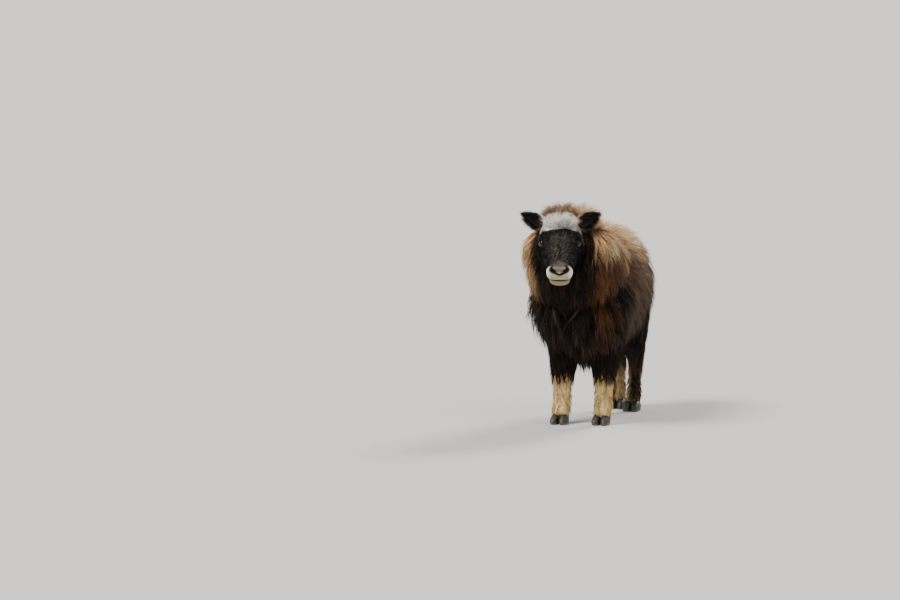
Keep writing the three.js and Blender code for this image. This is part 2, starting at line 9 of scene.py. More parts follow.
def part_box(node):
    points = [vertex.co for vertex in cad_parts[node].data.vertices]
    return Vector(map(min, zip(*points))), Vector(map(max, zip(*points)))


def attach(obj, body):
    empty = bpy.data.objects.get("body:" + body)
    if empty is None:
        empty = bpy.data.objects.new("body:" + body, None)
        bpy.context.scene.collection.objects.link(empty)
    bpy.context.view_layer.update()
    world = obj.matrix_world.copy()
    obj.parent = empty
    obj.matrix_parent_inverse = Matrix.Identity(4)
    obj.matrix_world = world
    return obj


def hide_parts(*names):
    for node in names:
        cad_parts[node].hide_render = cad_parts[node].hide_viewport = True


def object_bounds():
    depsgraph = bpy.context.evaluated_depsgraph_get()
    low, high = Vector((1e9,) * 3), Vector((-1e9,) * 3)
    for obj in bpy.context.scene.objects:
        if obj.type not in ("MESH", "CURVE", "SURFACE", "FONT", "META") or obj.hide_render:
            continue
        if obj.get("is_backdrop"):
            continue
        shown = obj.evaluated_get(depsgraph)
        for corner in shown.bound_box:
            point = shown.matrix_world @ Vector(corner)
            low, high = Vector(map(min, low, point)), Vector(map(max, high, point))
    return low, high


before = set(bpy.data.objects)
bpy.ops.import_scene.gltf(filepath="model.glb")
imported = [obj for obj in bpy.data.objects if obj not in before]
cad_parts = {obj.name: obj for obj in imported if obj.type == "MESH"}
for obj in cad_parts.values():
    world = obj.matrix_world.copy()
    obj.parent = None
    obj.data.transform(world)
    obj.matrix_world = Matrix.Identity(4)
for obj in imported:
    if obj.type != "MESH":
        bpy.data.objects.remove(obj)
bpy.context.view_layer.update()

# Flesh. A muskox calf about four months old stands with its head turned to its left front.
# Its trunk, neck, legs, head and ears are rounded forms along curved lines, grown together
# into one skin. Sizes repeat the solids' own, as shares of the height at the withers.
WITHERS = 0.78
HEAD = 0.39 * WITHERS
HEAD_TURN = math.radians(17)
HEAD_DROP = math.radians(42)
EYES_AT = Vector((-0.004, -0.602, 0.956)) * WITHERS
EYE_PLACE = (22.8, -4.0, 5.6)
PERCENT = WITHERS / 100
HEAD_PERCENT = HEAD / 100
head_frame = Matrix.Translation(EYES_AT) @ Matrix.Rotation(HEAD_TURN, 4, "Z")
head_frame = head_frame @ Matrix.Rotation(HEAD_DROP, 4, "X")
head_turned = np.array(head_frame.to_3x3())

# Everything is worked out on the calf's own axes, and moved into the frame by this much
eye_boxes = [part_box(f"eye_{side}") for side in ("left", "right")]
eyes_in_frame = sum((low + high for low, high in eye_boxes), Vector()) / 4
SHIFT = eyes_in_frame - head_frame @ (Vector((0, EYE_PLACE[1], EYE_PLACE[2])) * HEAD_PERCENT)
SHIFT.z = 0


def unit(vectors):
    return vectors / np.maximum(np.linalg.norm(vectors, axis=-1, keepdims=True), 1e-12)


def smooth(low, high, value):
    share = np.clip((value - low) / (high - low), 0, 1)
    return share * share * (3 - 2 * share)


def in_head(points):
    """Points on the head's own axes, in hundredths of its length: x to its left, -y to its nose."""
    return (points - np.array(EYES_AT)) @ head_turned / HEAD_PERCENT


def from_head(x, y, z):
    return np.array(head_frame @ (Vector((x, y, z)) * HEAD_PERCENT))


def curve(points, share):
    """A smooth curve through points, at shares of its run."""
    last = len(points) - 1
    place = np.clip(share, -0.02, 1.02) * last
    cell = np.clip(np.floor(place).astype(int), 0, last - 1)
    t = (place - cell)[:, None]
    ends = np.vstack([2 * points[0] - points[1], points, 2 * points[-1] - points[-2]])
    a, b, c, d = (ends[cell + step] for step in range(4))
    return b + 0.5 * t * (c - a + t * (2 * a - 5 * b + 4 * c - d + t * (3 * (b - c) + d - a)))


class Form:
    """A rounded form along a curved line, with its skin some way inside it, under the coat.

    A row is a place, half width, reach above and reach below.
    """

    def __init__(self, rows, size, skin, up=(0, 0, 1), square=2.2, ends=0.15, head=False, bumps=()):
        table = np.array(rows, float) * size
        self.places = table[:, :3]
        self.reaches = table[:, 3:]
        self.up = np.array(up, float)
        if head:
            self.places = self.places @ head_turned.T + np.array(EYES_AT)
            self.up = head_turned @ self.up
        steps = curve(self.places, np.linspace(0, 1, 201))
        self.length = np.linalg.norm(np.diff(steps, axis=0), axis=1).sum()
        self.skin = skin
        self.square = square
        self.ends = ends
        self.bumps = bumps

    def section(self, u, inset):
        """The form drawn in by an inset, at shares of its line: middle, axes and reaches."""
        margin = (inset + 0.001) / self.length
        t = margin + (1 - 2 * margin) * u
        centre = curve(self.places, t)
        along = unit(curve(self.places, t + 1e-3) - curve(self.places, t - 1e-3))
        side = unit(np.cross(along, self.up))
        above = np.cross(side, along)
        near_end = np.minimum(np.minimum(u, 1 - u), self.ends) / self.ends
        rounding = np.sqrt(np.maximum(1 - (1 - near_end) ** 2, 0))
        inset = np.broadcast_to(inset, u.shape)[:, None]
        reach = np.maximum(curve(self.reaches, t) - inset, 0.002) * rounding[:, None]
        return centre, along, side, above, reach

    def point(self, u, angle):
        """Places on the skin, by share along the line and angle round it."""
        centre, _, side, above, reach = self.section(u, self.skin)
        wide, lift = (np.sign(v) * np.abs(v) ** (2 / self.square) for v in (np.cos(angle), np.sin(angle)))
        tall = np.where(lift > 0, reach[:, 1], reach[:, 2])
        away = side * (reach[:, 0] * wide)[:, None] + above * (lift * tall)[:, None]
        at = centre + away
        if not self.bumps:
            return at
        local = in_head(at)
        local[:, 0] = np.abs(local[:, 0])
        height = 0
        for place, spread, rise in self.bumps:
            height = height + rise * np.exp(-(((local - place) / spread) ** 2).sum(1))
        return at + unit(away) * (HEAD_PERCENT * height)[:, None]

    def slopes(self, u, angle):
        """How the skin runs at a point: along the line, round it and straight out."""
        step = 0.01
        along = (self.point(u + step, angle) - self.point(u - step, angle)) / (2 * step)
        around = (self.point(u, angle + step) - self.point(u, angle - step)) / (2 * step)
        out = unit(np.cross(along, around))
        away = self.point(u, angle) - self.section(u, self.skin)[0]
        out *= np.where((out * away).sum(1) < 0, -1, 1)[:, None]
        return along, around, out

    def holds(self, points, inset):
        """Which points lie inside the form, drawn in by the inset."""
        inside = np.zeros(len(points), bool)
        slices = 50
        for i in range(1, slices):
            centre, along, side, above, reach = (v[0] for v in self.section(np.array([i / slices]), inset))
            offset = points - centre
            near = np.abs(offset @ along) < self.length / slices
            lift = offset @ above
            across = np.abs(offset @ side / reach[0]) ** self.square
            height = np.abs(lift / np.where(lift > 0, reach[1], reach[2])) ** self.square
            inside |= near & (across + height < 1)
        return inside

    def shell(self, sheet, sides, rings, fold=None):
        """Adds the form's closed surface to a mesh being built, from a sphere drawn out over it."""
        made = bmesh.ops.create_uvsphere(sheet, u_segments=sides, v_segments=rings, radius=1)["verts"]
        ball = np.array([vert.co for vert in made])
        u = np.clip((1 - ball[:, 2]) / 2, 0, 1)
        angle = np.arctan2(ball[:, 1], ball[:, 0])
        places = fold(self, u, angle) if fold else self.point(u, angle)
        for vert, place in zip(made, places):
            vert.co = place
        faces = list({face for vert in made for face in vert.link_faces})
        bmesh.ops.recalc_face_normals(sheet, faces=faces)


torso = Form(
    [
        [0, -45, 67, 19, 14, 17],
        [0, -39, 67, 25, 20, 24],
        [0, -28, 67.5, 27, 30.5, 32],
        [0, -13, 68, 26, 34.5, 34.5],
        [0, 6, 67, 23.8, 34, 32.5],
        [0, 23, 66.2, 20.8, 29.8, 29.2],
        [0, 37, 65.5, 17.8, 24.8, 24.5],
        [0, 47, 66, 14.5, 17.5, 18],
        [0, 52.5, 66, 10.5, 12, 12],
    ],
    PERCENT,
    skin=0.05,
    square=2.5,
)
neck = Form(
    [
        [-1.2, -42.5, 117.5, 14.5, 9, 9],
        [-1.4, -43, 109, 18, 12, 12],
        [-1.8, -41, 97, 24.2, 15, 17],
        [-1.2, -36.5, 87, 26.6, 21, 21],
        [0, -29, 77, 26, 25, 23],
        [0, -20, 71, 22, 25, 23],
    ],
    PERCENT,
    skin=0.056,
    up=(0, 1, 1),
    ends=0.13,
)
tail = Form(
    [
        [0, 45, 77, 3, 3, 3],
        [0, 49.4, 75, 3.4, 3, 3],
        [0, 52.6, 69, 3.4, 2.8, 2.8],
        [0, 53.6, 61.5, 2.4, 1.8, 1.8],
    ],
    PERCENT,
    skin=0.008,
    up=(0, 1, 0),
)

FRONT_ROWS = [
    [10, -20, 57, 9, 10, 11],
    [11.2, -20.5, 44, 9.3, 10, 12],
    [11, -22.5, 34, 8.2, 8, 9],
    [10.8, -24.5, 25, 6.2, 6, 6.4],
    [10.7, -25, 17, 5.2, 5, 5.3],
    [10.7, -25.4, 10.5, 5.3, 5.1, 5.6],
    [10.7, -26.6, 5.8, 5.4, 5.1, 4.8],
    [10.6, -27.4, 3.2, 4.9, 4.8, 4.1],
]
HIND_ROWS = [
    [7, 25, 66, 10.5, 14, 13],
    [7.6, 28, 52, 9.6, 13.5, 13.5],
    [7.2, 32.5, 40, 7.8, 10, 9.2],
    [6.6, 38.5, 31, 5.2, 6.2, 5.6],
    [6.2, 40.8, 25, 4.4, 4.9, 4.7],
    [6.1, 39, 16, 4.1, 4.2, 4.4],
    [6.1, 38, 10, 4.4, 4.4, 4.9],
    [6.1, 36.8, 5.6, 4.5, 4.4, 4.1],
    [6.1, 36, 3.2, 4.3, 4.3, 3.8],
]
LEG_COAT = 0.0088
# Rows and side of each leg, and how far its foot stands from the mirror image of the others
STANCE = {
    "front_left": (FRONT_ROWS, 1, 0, 1),
    "front_right": (FRONT_ROWS, -1, 0, -3),
    "hind_left": (HIND_ROWS, 1, 0, 0),
    "hind_right": (HIND_ROWS, -1, -1.6, 9),
}
legs = {}
feet = {}
for name, (rows, side, step_x, step_y) in STANCE.items():
    top = rows[0][2]
    placed = []
    for x, y, z, *reach in rows:
        share = 1 - z / top
        placed.append([side * (x + step_x * share), y + step_y * share, z, *reach])
    legs[name] = Form(placed, PERCENT, skin=LEG_COAT, up=(0, -1, 0), square=2.1, ends=0.08)
    feet[name] = (placed[-1][0] * PERCENT, placed[-1][1] * PERCENT, side)

# Bumps are bone and flesh under the skin of the head: place, spread and height
head = Form(
    [
        [0, 43, -7, 18, 15, 20],
        [0, 33, -5, 27, 22, 29],
        [0, 18, -3, 31.5, 25.5, 33],
        [0, 3, 0, 30.5, 21.5, 32],
        [0, -11, -1, 27, 17.5, 29],
        [0, -24, -2.5, 23, 15, 24.5],
        [0, -35, -4, 20, 12.8, 20.5],
        [0, -42, -4.6, 17.5, 11.2, 17.5],
        [0, -47, -5, 13.5, 9, 13],
    ],
    HEAD_PERCENT,
    skin=0.0105,
    square=2.3,
    ends=0.13,
    head=True,
    bumps=[
        ((24, 3, 14), (8, 11, 7), 2.4),  # brow over the eye
        ((26, -15, 4), (8, 7, 7), -1.8),  # hollow before the eye
        ((28, 10, -14), (12, 14, 12), 1.6),  # cheek
        ((14, 20, 24), (9, 9, 8), 1.6),  # bud of the horn, under the crown
        ((0, -25, 12), (9, 12, 6), 0.8),  # bridge of the nose
    ],
)
nose = Form(
    [
        [0, -22, -8, 17, 10, 13],
        [0, -33, -7.6, 18, 11, 14.4],
        [0, -42.5, -6, 17.4, 11.4, 13.6],
        [0, -52, -3.6, 15.4, 10.6, 11.8],
    ],
    HEAD_PERCENT,
    skin=0.003,
    square=2.1,
    ends=0.12,
    head=True,
    bumps=[
        ((10.4, -46.5, 5), (5, 6, 5), 2.2),  # wing over the nostril
        ((13, -44.5, -11), (7, 9, 5), 1.4),  # upper lip
        ((0, -48.5, 8), (5, 6, 4), -0.8),  # dip between the nostrils
    ],
)
chin = Form(
    [
        [0, -18, -19, 12.4, 8, 8],
        [0, -34, -20.5, 14.6, 7.6, 8.4],
        [0, -44, -20, 14.4, 7, 8.2],
        [0, -52, -18.5, 12.4, 6, 7],
    ],
    HEAD_PERCENT,
    skin=0.003,
    square=2.1,
    ends=0.17,
    head=True,
)
crown = Form(
    [
        [-23, 19, 15, 8, 7, 8],
        [-12, 20, 20, 13, 8.5, 9],
        [0, 20.5, 22, 14, 8.5, 9],
        [12, 20, 20, 13, 8.5, 9],
        [23, 19, 15, 8, 7, 8],
    ],
    HEAD_PERCENT,
    skin=0.012,
    ends=0.25,
    head=True,
)

EAR_LENGTH = 0.1
EAR_HALF_WIDTH = 0.025
EAR_WALL = 0.0045
EAR_RIM = math.radians(38)
ears = {}
for side, sign in (("left", 1), ("right", -1)):
    aside = np.array((sign * math.cos(HEAD_TURN), sign * math.sin(HEAD_TURN), 0))
    forward = np.array((math.sin(HEAD_TURN), -math.cos(HEAD_TURN), 0))
    way = 0.88 * aside - 0.1 * forward
    way[2] = 0.42
    way /= np.linalg.norm(way)
    root = from_head(sign * 20, 24, 11)
    rows = []
    for along, wide, front, back in (
        (0, 0.75, 0.5, 0.45),
        (0.2, 1, 0.6, 0.5),
        (0.45, 0.95, 0.6, 0.45),
        (0.72, 0.6, 0.4, 0.35),
        (1, 0.12, 0.15, 0.15),
    ):
        reach = [share * EAR_HALF_WIDTH for share in (wide, front, back)]
        rows.append([*(root + way * along * EAR_LENGTH), *reach])
    ears[side] = Form(rows, 1, skin=0.001, up=forward, square=2, ends=0.12)


def ear_fold(form, u, angle):
    """An ear's leaf: its back wall and its rims outside, and the cup drawn in to the wall inside."""
    centre, _, side, above, reach = form.section(u, 0.0005)
    inner = np.sin(angle) > 0
    turn = np.where(inner, angle - math.pi / 2, angle + math.pi / 2)
    spread = turn * (math.pi / 2 + EAR_RIM) / (math.pi / 2)
    swing = -math.pi / 2 + np.where(inner, -spread, spread)
    wall = np.where(inner, EAR_WALL, 0) * np.minimum(1, reach[:, 0] / 0.012)
    wide = np.maximum(reach[:, 0] - wall, 0.0008)
    tall = np.where(np.sin(swing) > 0, reach[:, 1], np.maximum(reach[:, 2] - wall, 0.0008))
    return centre + side * (wide * np.cos(swing))[:, None] + above * (tall * np.sin(swing))[:, None]


def mesh_of(name, sheet):
    """Closes a mesh being built."""
    mesh = bpy.data.meshes.new(name)
    sheet.to_mesh(mesh)
    sheet.free()
    return mesh


def placed_in_scene(name, data):
    thing = bpy.data.objects.new(name, data)
    bpy.context.scene.collection.objects.link(thing)
    return thing


def apply_modifiers(thing):
    """Gives an object the mesh that its modifiers make."""
    bpy.context.view_layer.update()
    made = bpy.data.meshes.new_from_object(thing.evaluated_get(bpy.context.evaluated_depsgraph_get()))
    thing.modifiers.clear()
    thing.data = made


sheet = bmesh.new()
torso.shell(sheet, 48, 48)
neck.shell(sheet, 48, 40)
tail.shell(sheet, 20, 20)
for leg in legs.values():
    leg.shell(sheet, 28, 56)
head.shell(sheet, 64, 64)
nose.shell(sheet, 64, 56)
chin.shell(sheet, 48, 40)
crown.shell(sheet, 32, 24)
for ear in ears.values():
    ear.shell(sheet, 32, 28, fold=ear_fold)

# Lids: a ring laid round each eye, lower at its front corner
LID_RING = 5.3 * HEAD_PERCENT
LID_TUBE = 1.15 * HEAD_PERCENT
LID_PLACE = (EYE_PLACE[0] + 2, EYE_PLACE[1] - 1.5, EYE_PLACE[2])
LID_TURN = math.radians(58)
LID_LEAN = math.radians(14)
LID_OPENING = (1.1, 0.74, 1, 1)
for sign in (1, -1):
    ring = bmesh.ops.create_circle(sheet, segments=14, radius=LID_TUBE)["verts"]
    bmesh.ops.rotate(sheet, verts=ring, cent=(0, 0, 0), matrix=Matrix.Rotation(math.pi / 2, 3, "X"))
    bmesh.ops.translate(sheet, verts=ring, vec=(LID_RING, 0, 0))
    edges = list({edge for vert in ring for edge in vert.link_edges})
    bmesh.ops.spin(
        sheet,
        geom=ring + edges,
        cent=(0, 0, 0),
        axis=(0, 0, 1),
        angle=2 * math.pi,
        steps=40,
        use_merge=True,
    )
    tube = {vert for edge in edges for face in edge.link_faces for vert in face.verts}
    grown = tube
    while grown:
        grown = {v for vert in grown for edge in vert.link_edges for v in edge.verts} - tube
        tube = tube | grown
    tilt = head_frame @ Matrix.Translation(Vector((sign * LID_PLACE[0], *LID_PLACE[1:])) * HEAD_PERCENT)
    tilt = tilt @ Matrix.Rotation(sign * LID_TURN, 4, "Z") @ Matrix.Rotation(math.pi / 2, 4, "X")
    tilt = tilt @ Matrix.Rotation(sign * LID_LEAN, 4, "Z") @ Matrix.Diagonal(LID_OPENING)
    bmesh.ops.transform(sheet, verts=list(tube), matrix=tilt)
bmesh.ops.recalc_face_normals(sheet, faces=sheet.faces)

# The forms grow together: fine cells, then smoothed, then thinned where the skin is plain
SKIN_CELL = 0.003
SKIN_FACES = 110000
skin = placed_in_scene("skin", mesh_of("skin_rough", sheet))
grow = skin.modifiers.new("grow", "REMESH")
grow.mode = "VOXEL"
grow.voxel_size = SKIN_CELL
ease = skin.modifiers.new("ease", "SMOOTH")
ease.factor = 0.5
ease.iterations = 3
apply_modifiers(skin)
thin = skin.modifiers.new("thin", "DECIMATE")
thin.ratio = min(1, SKIN_FACES / (2 * len(skin.data.polygons)))
apply_modifiers(skin)

# Mouth and nostrils are pressed into the front of the muzzle, where the faces are made finer.
# Places on the head are in hundredths of its length, and depths in metres.
MUZZLE_Y = -36
MUZZLE_LOWEST = -24
NOSTRIL_DEPTH = 0.011
MOUTH_DEPTH = 0.0055


def on_head(verts):
    return in_head(np.array([vert.co for vert in verts]))


sheet = bmesh.new()
sheet.from_mesh(skin.data)
for vert, (_, y, z) in zip(sheet.verts, on_head(sheet.verts)):
    vert.tag = bool(y < MUZZLE_Y and z > MUZZLE_LOWEST)
fine = [edge for edge in sheet.edges if edge.verts[0].tag and edge.verts[1].tag]
bmesh.ops.subdivide_edges(sheet, edges=fine, cuts=2, use_grid_fill=True)
bmesh.ops.triangulate(sheet, faces=[face for face in sheet.faces if len(face.verts) > 4])
fine = [vert for vert, place in zip(sheet.verts, on_head(sheet.verts)) if place[1] < MUZZLE_Y]
for _ in range(2):
    bmesh.ops.smooth_vert(sheet, verts=fine, factor=0.4, use_axis_x=True, use_axis_y=True, use_axis_z=True)
sheet.normal_update()


def slot_depth(local, centre, reach, lean):
    """How deep a slot is at points of the head: 1 along its middle line, 0 outside its reach."""
    x, z = local[:, 0] - centre[0], local[:, 2] - centre[1]
    along = x * math.cos(lean) + z * math.sin(lean)
    across = z * math.cos(lean) - x * math.sin(lean)
    return np.exp(-(np.abs(along / reach[0]) ** 3) - (across / reach[1]) ** 2)


def nostrils(local):
    """A comma on each side: a round hole under the wing, and a slot that runs down to the middle."""
    folded = np.column_stack([np.abs(local[:, 0]), local[:, 1], local[:, 2]])
    ahead = smooth(-39, -43, local[:, 1])
    hole = slot_depth(folded, (9.2, 0.5), (5.4, 3.2), math.radians(32))
    tail_slot = slot_depth(folded, (3.6, -3.2), (5.4, 2), math.radians(22))
    return np.maximum(hole, 0.85 * tail_slot) * ahead


def mouth_line(local):
    """The parting of the lips, lower at the corners."""
    droop = -14.2 - 0.006 * local[:, 0] ** 2
    ahead = smooth(-36, -41, local[:, 1])
    wide = 1 - smooth(14, 19, np.abs(local[:, 0]))
    return np.exp(-(((local[:, 2] - droop) / 1.8) ** 2)) * ahead * wide


local = on_head(fine)
for vert, depth in zip(fine, NOSTRIL_DEPTH * nostrils(local) + MOUTH_DEPTH * mouth_line(local)):
    vert.co -= vert.normal * depth
sheet.to_mesh(skin.data)
sheet.free()

# Markings. The coat is near black below and on the face, grey-brown on the flank, rust on the
# ruff and shoulder, pale on the saddle, white on the crown, and cream on the muzzle and shanks.
# Skin and hair take their colours from their place on the body; the skin under the coat is darker, as
# painted shade between the tufts.


def tint(red, green, blue):
    """A given colour, as the light that it sends back."""
    shade = np.array([red, green, blue], float) / 255
    return np.where(shade <= 0.04045, shade / 12.92, ((shade + 0.055) / 1.055) ** 2.4)


BLACK_HAIR = tint(9, 5, 3)
DARK_HAIR = tint(34, 20, 12)
BROWN_HAIR = tint(92, 62, 40)
FLANK_HAIR = tint(92, 74, 60)
RUMP_HAIR = tint(128, 104, 84)
RUST_HAIR = tint(170, 112, 64)
TAN_HAIR = tint(232, 186, 136)
PALE_HAIR = tint(240, 212, 170)
WHITE_HAIR = tint(255, 250, 240)
CREAM_HAIR = tint(228, 196, 136)
# Grey tips on the dark hair of the face, cheeks and ears: partly real grizzle, partly painted glints of
# light
GRIZZLE_AND_GLINT = tint(150, 138, 128)
MUZZLE_HAIR = tint(246, 232, 212)
NOSE_PAD = tint(84, 70, 60)
CHIN_HAIR = tint(140, 128, 94)
# Painted shade for the hollows of the nostrils and the parting of the mouth
HOLLOW_SHADE = tint(12, 7, 5)
FOOT_HAIR = tint(168, 138, 100)


def egg(points, centre, reach, soft=0.35):
    """1 inside an egg on the calf's own axes, fading to 0 outside it."""
    distance = np.linalg.norm((points - np.array(centre)) / np.array(reach), axis=1)
    return 1 - smooth(1 - soft, 1 + soft, distance)


def ripple(points, size, seed):
    """Slow, uneven waves from -1 to 1, so that no marking ends on a ruled line."""
    random = np.random.default_rng(seed)
    total = np.zeros(len(points))
    for _ in range(5):
        way = unit(random.normal(size=3)) * random.uniform(0.7, 1.6) * 2 * math.pi / size
        total += np.sin(points @ way + random.uniform(0, 2 * math.pi))
    return total / 3


def band_of(value, start, full, fading, end):
    """1 within a band, and 0 before its start and past its end."""
    return smooth(start, full, value) * smooth(end, fading, value)


def markings(points):
    """The colour at the root and at the tip of the hair that grows at each point."""
    place = points / WITHERS
    x, y, z = place.T
    side = np.abs(x)
    local = in_head(points)
    across, ahead, height = np.abs(local[:, 0]), local[:, 1], local[:, 2]
    rise = 0.74 * ahead + 0.67 * (height - EYE_PLACE[2])
    wave = ripple(points, 0.16, 3)
    fine_wave = ripple(points, 0.05, 4)
    ragged = 3 * fine_wave
    root = np.tile(DARK_HAIR, (len(points), 1))
    tip = np.tile(FLANK_HAIR, (len(points), 1))

    def lay(mask, root_colour, tip_colour=None):
        tip_colour = root_colour if tip_colour is None else tip_colour
        share = np.clip(mask, 0, 1)[:, None]
        root[:] = root * (1 - share) + root_colour * share
        tip[:] = tip * (1 - share) + tip_colour * share

    # Belly, chest and the front of the trunk
    lay(smooth(0.66, 0.44, z + 0.03 * wave), BLACK_HAIR, DARK_HAIR)
    lay(smooth(-0.22, -0.36, y + 0.03 * wave) * smooth(0.9, 0.74, z), BLACK_HAIR, DARK_HAIR)
    # Saddle, palest just behind the withers, and tan towards the rump
    upper = smooth(0.7, 0.86, z + 0.03 * wave)
    lay(upper * band_of(y, -0.2, -0.08, 0.3, 0.62), DARK_HAIR, RUMP_HAIR)
    lay(egg(place, (0, 0.16, 1.04), (0.34, 0.4, 0.17), 0.4), BROWN_HAIR, TAN_HAIR)
    lay(egg(place, (0, -0.06, 1.06), (0.34, 0.24, 0.16), 0.35), TAN_HAIR, PALE_HAIR)
    lay(smooth(0.34, 0.5, y) * smooth(0.46, 0.62, z), DARK_HAIR, RUMP_HAIR)
    # Rust streak from the ruff down the shoulder to the elbow
    toward_side = x + 0.36 * (y + 0.27) + 0.008 * fine_wave
    band = band_of(toward_side, 0.02, 0.05, 0.09, 0.13) * smooth(-0.12, -0.2, y)
    lay(0.8 * band * band_of(z, 0.42, 0.55, 0.92, 1.02), DARK_HAIR, RUST_HAIR * 0.42)
    # Ruff and crest on the neck: tan and rust outside, dark round the face and under the chin
    collar = egg(place, (-0.012, -0.38, 0.98), (0.38, 0.28, 0.36), 0.15)
    behind = smooth(4, 20, ahead)
    lay(collar * behind, DARK_HAIR, BROWN_HAIR)
    lay(band * collar * smooth(0.92, 1.02, z), BROWN_HAIR, TAN_HAIR)
    lay(collar * smooth(0.86, 0.95, z) * smooth(-0.4, -0.32, y), BROWN_HAIR, TAN_HAIR)
    lay(collar * smooth(0.06, 0.1, toward_side) * smooth(0.93, 1.0, z), TAN_HAIR, PALE_HAIR)
    far_side = smooth(-0.13, -0.155, x + 0.01 * fine_wave)
    lay(collar * far_side * smooth(0.79, 0.88, z), RUST_HAIR, TAN_HAIR)
    lay(smooth(1.03, 1.1, z) * behind, RUST_HAIR, PALE_HAIR)
    # Painted shadow: a darker strip down the middle of the neck just behind the crown
    shadow_behind_crown = smooth(22, 10, across + ragged) * smooth(44, 36, rise + ragged)
    lay(0.65 * behind * shadow_behind_crown, DARK_HAIR, BROWN_HAIR)
    frame_hair = smooth(0.045, 0.02, toward_side) * (1 - far_side) * smooth(22, 10, rise + ragged)
    lay(collar * behind * frame_hair, BLACK_HAIR, DARK_HAIR)
    outer_chest = smooth(0.14, 0.2, side) * smooth(-0.1, -0.2, y) * band_of(z, 0.42, 0.55, 0.8, 0.95)
    lay(0.7 * outer_chest * (x < 0), DARK_HAIR, BROWN_HAIR)
    throat = smooth(0.17, 0.1, side + 0.02 * wave) * smooth(-0.3, -0.4, y) * smooth(0.98, 0.88, z)
    lay(throat, BLACK_HAIR, DARK_HAIR)
    # Face and cheeks
    face = smooth(30, 20, ahead + 2 * fine_wave) * egg(local, (0, -6, -4), (44, 60, 44), 0.12)
    lay(face, BLACK_HAIR, DARK_HAIR * 0.4)
    # Grizzled tips, partly painted glints, along the bridge of the nose
    bridge = np.exp(-((across / 11) ** 2)) * smooth(2, -8, ahead) * smooth(0, 6, height)
    lay(0.45 * face * bridge, BLACK_HAIR * 2, GRIZZLE_AND_GLINT)
    # White crown, arched over the brow, and a thin arc that runs down outside each brow
    arch = 10.6 - 0.004 * across**2
    patch = smooth(arch - 1.2, arch + 1.2, ahead + 1.2 * fine_wave)
    patch = patch * egg(local, (0, 20, 24), (28, 17, 20), 0.2)
    lay(patch * smooth(32, 28, rise + ragged), WHITE_HAIR)
    arc = np.exp(-(((across - 25 - 0.25 * (14 - ahead)) / 2.0) ** 2))
    arc = arc * band_of(ahead, 7, 11, 16, 24)
    lay(0.6 * arc * smooth(-2, 6, height), PALE_HAIR, WHITE_HAIR)
    # Muzzle: pale wings, lip and chin, a grey pad between the nostrils, and painted shade, near black, in
    # the nostrils and the parting of the mouth
    near_nose = egg(local, (0, -44, -8), (30, 24, 28), 0.15)
    between = np.exp(-((across / 10) ** 4)) * smooth(-3.5, 1, height)
    muzzle = smooth(-38, -41.5, ahead + 4.5 * between + 0.8 * fine_wave) * near_nose
    lay(muzzle, MUZZLE_HAIR)
    lay(0.85 * muzzle * smooth(0, -8, height) * smooth(17, 10, across), CHIN_HAIR)
    lay(muzzle * smooth(-14, -16, height), CHIN_HAIR)
    lay(0.9 * between * smooth(-30, -40, ahead) * near_nose, NOSE_PAD)
    # Painted shade: the pressed nostrils and the mouth's parting are darkened to near black
    lay(np.clip(2.1 * nostrils(local), 0, 1) * near_nose, HOLLOW_SHADE)
    lay(np.clip(1.6 * mouth_line(local), 0, 1) * muzzle, HOLLOW_SHADE)
    # Ears
    for ear in ears.values():
        middle = curve(ear.places, np.linspace(0, 1, 12))
        away = np.linalg.norm(points[:, None, :] - middle[None], axis=2).min(1)
        out = ((points - ear.places[0]) @ unit(ear.places[-1] - ear.places[0])) / EAR_LENGTH
        leaf = smooth(0.036, 0.03, away) * smooth(0.12, 0.3, out)
        lay(leaf, BLACK_HAIR, BLACK_HAIR * 2)
        lay(0.5 * leaf * smooth(0.4, 0.15, out), DARK_HAIR, BROWN_HAIR)
    # Stockings: cream on the fore shanks and on the hind ones; the front and outer side of the hind shanks
    # stays dark as painted shade, and cream shows only on their inner and rear side
    fore = smooth(0.0, -0.05, y)
    hind = 1 - fore
    sock = smooth(0.275, 0.24, z + 0.006 * fine_wave)
    lay(sock * fore, CREAM_HAIR * 0.8, CREAM_HAIR)
    lay(smooth(0.4, 0.3, z) * (1 - sock) * fore, BLACK_HAIR, DARK_HAIR)
    rear = y - np.where(x > 0, 0.385, 0.475)
    pale_side = np.clip(smooth(0.062, 0.04, side) + smooth(0.0, 0.03, rear), 0, 1)
    # The hind legs are dark from above the hock to the hoof; below the hock, where no cream is laid back
    # on the front and outer side, this dark is painted shade
    lay(smooth(0.34, 0.26, z) * hind, BLACK_HAIR, BROWN_HAIR)
    stocking = smooth(0.3, 0.22, z + 0.008 * fine_wave) * hind * pale_side
    lay(0.8 * stocking, CREAM_HAIR * 0.6, CREAM_HAIR * 0.85)
    lay(0.4 * smooth(0.09, 0.05, z), FOOT_HAIR)
    shade = (1 + 0.12 * wave + 0.1 * fine_wave)[:, None]
    return root * shade, tip * shade


def paint(mesh, colours):
    """Keeps a colour at each point of a mesh, for its material to read."""
    layer = mesh.attributes.new("marking", "FLOAT_COLOR", "POINT")
    solid = np.column_stack([np.clip(colours, 0, 1), np.ones(len(colours))])
    layer.data.foreach_set("color", solid.astype(np.float32).ravel())


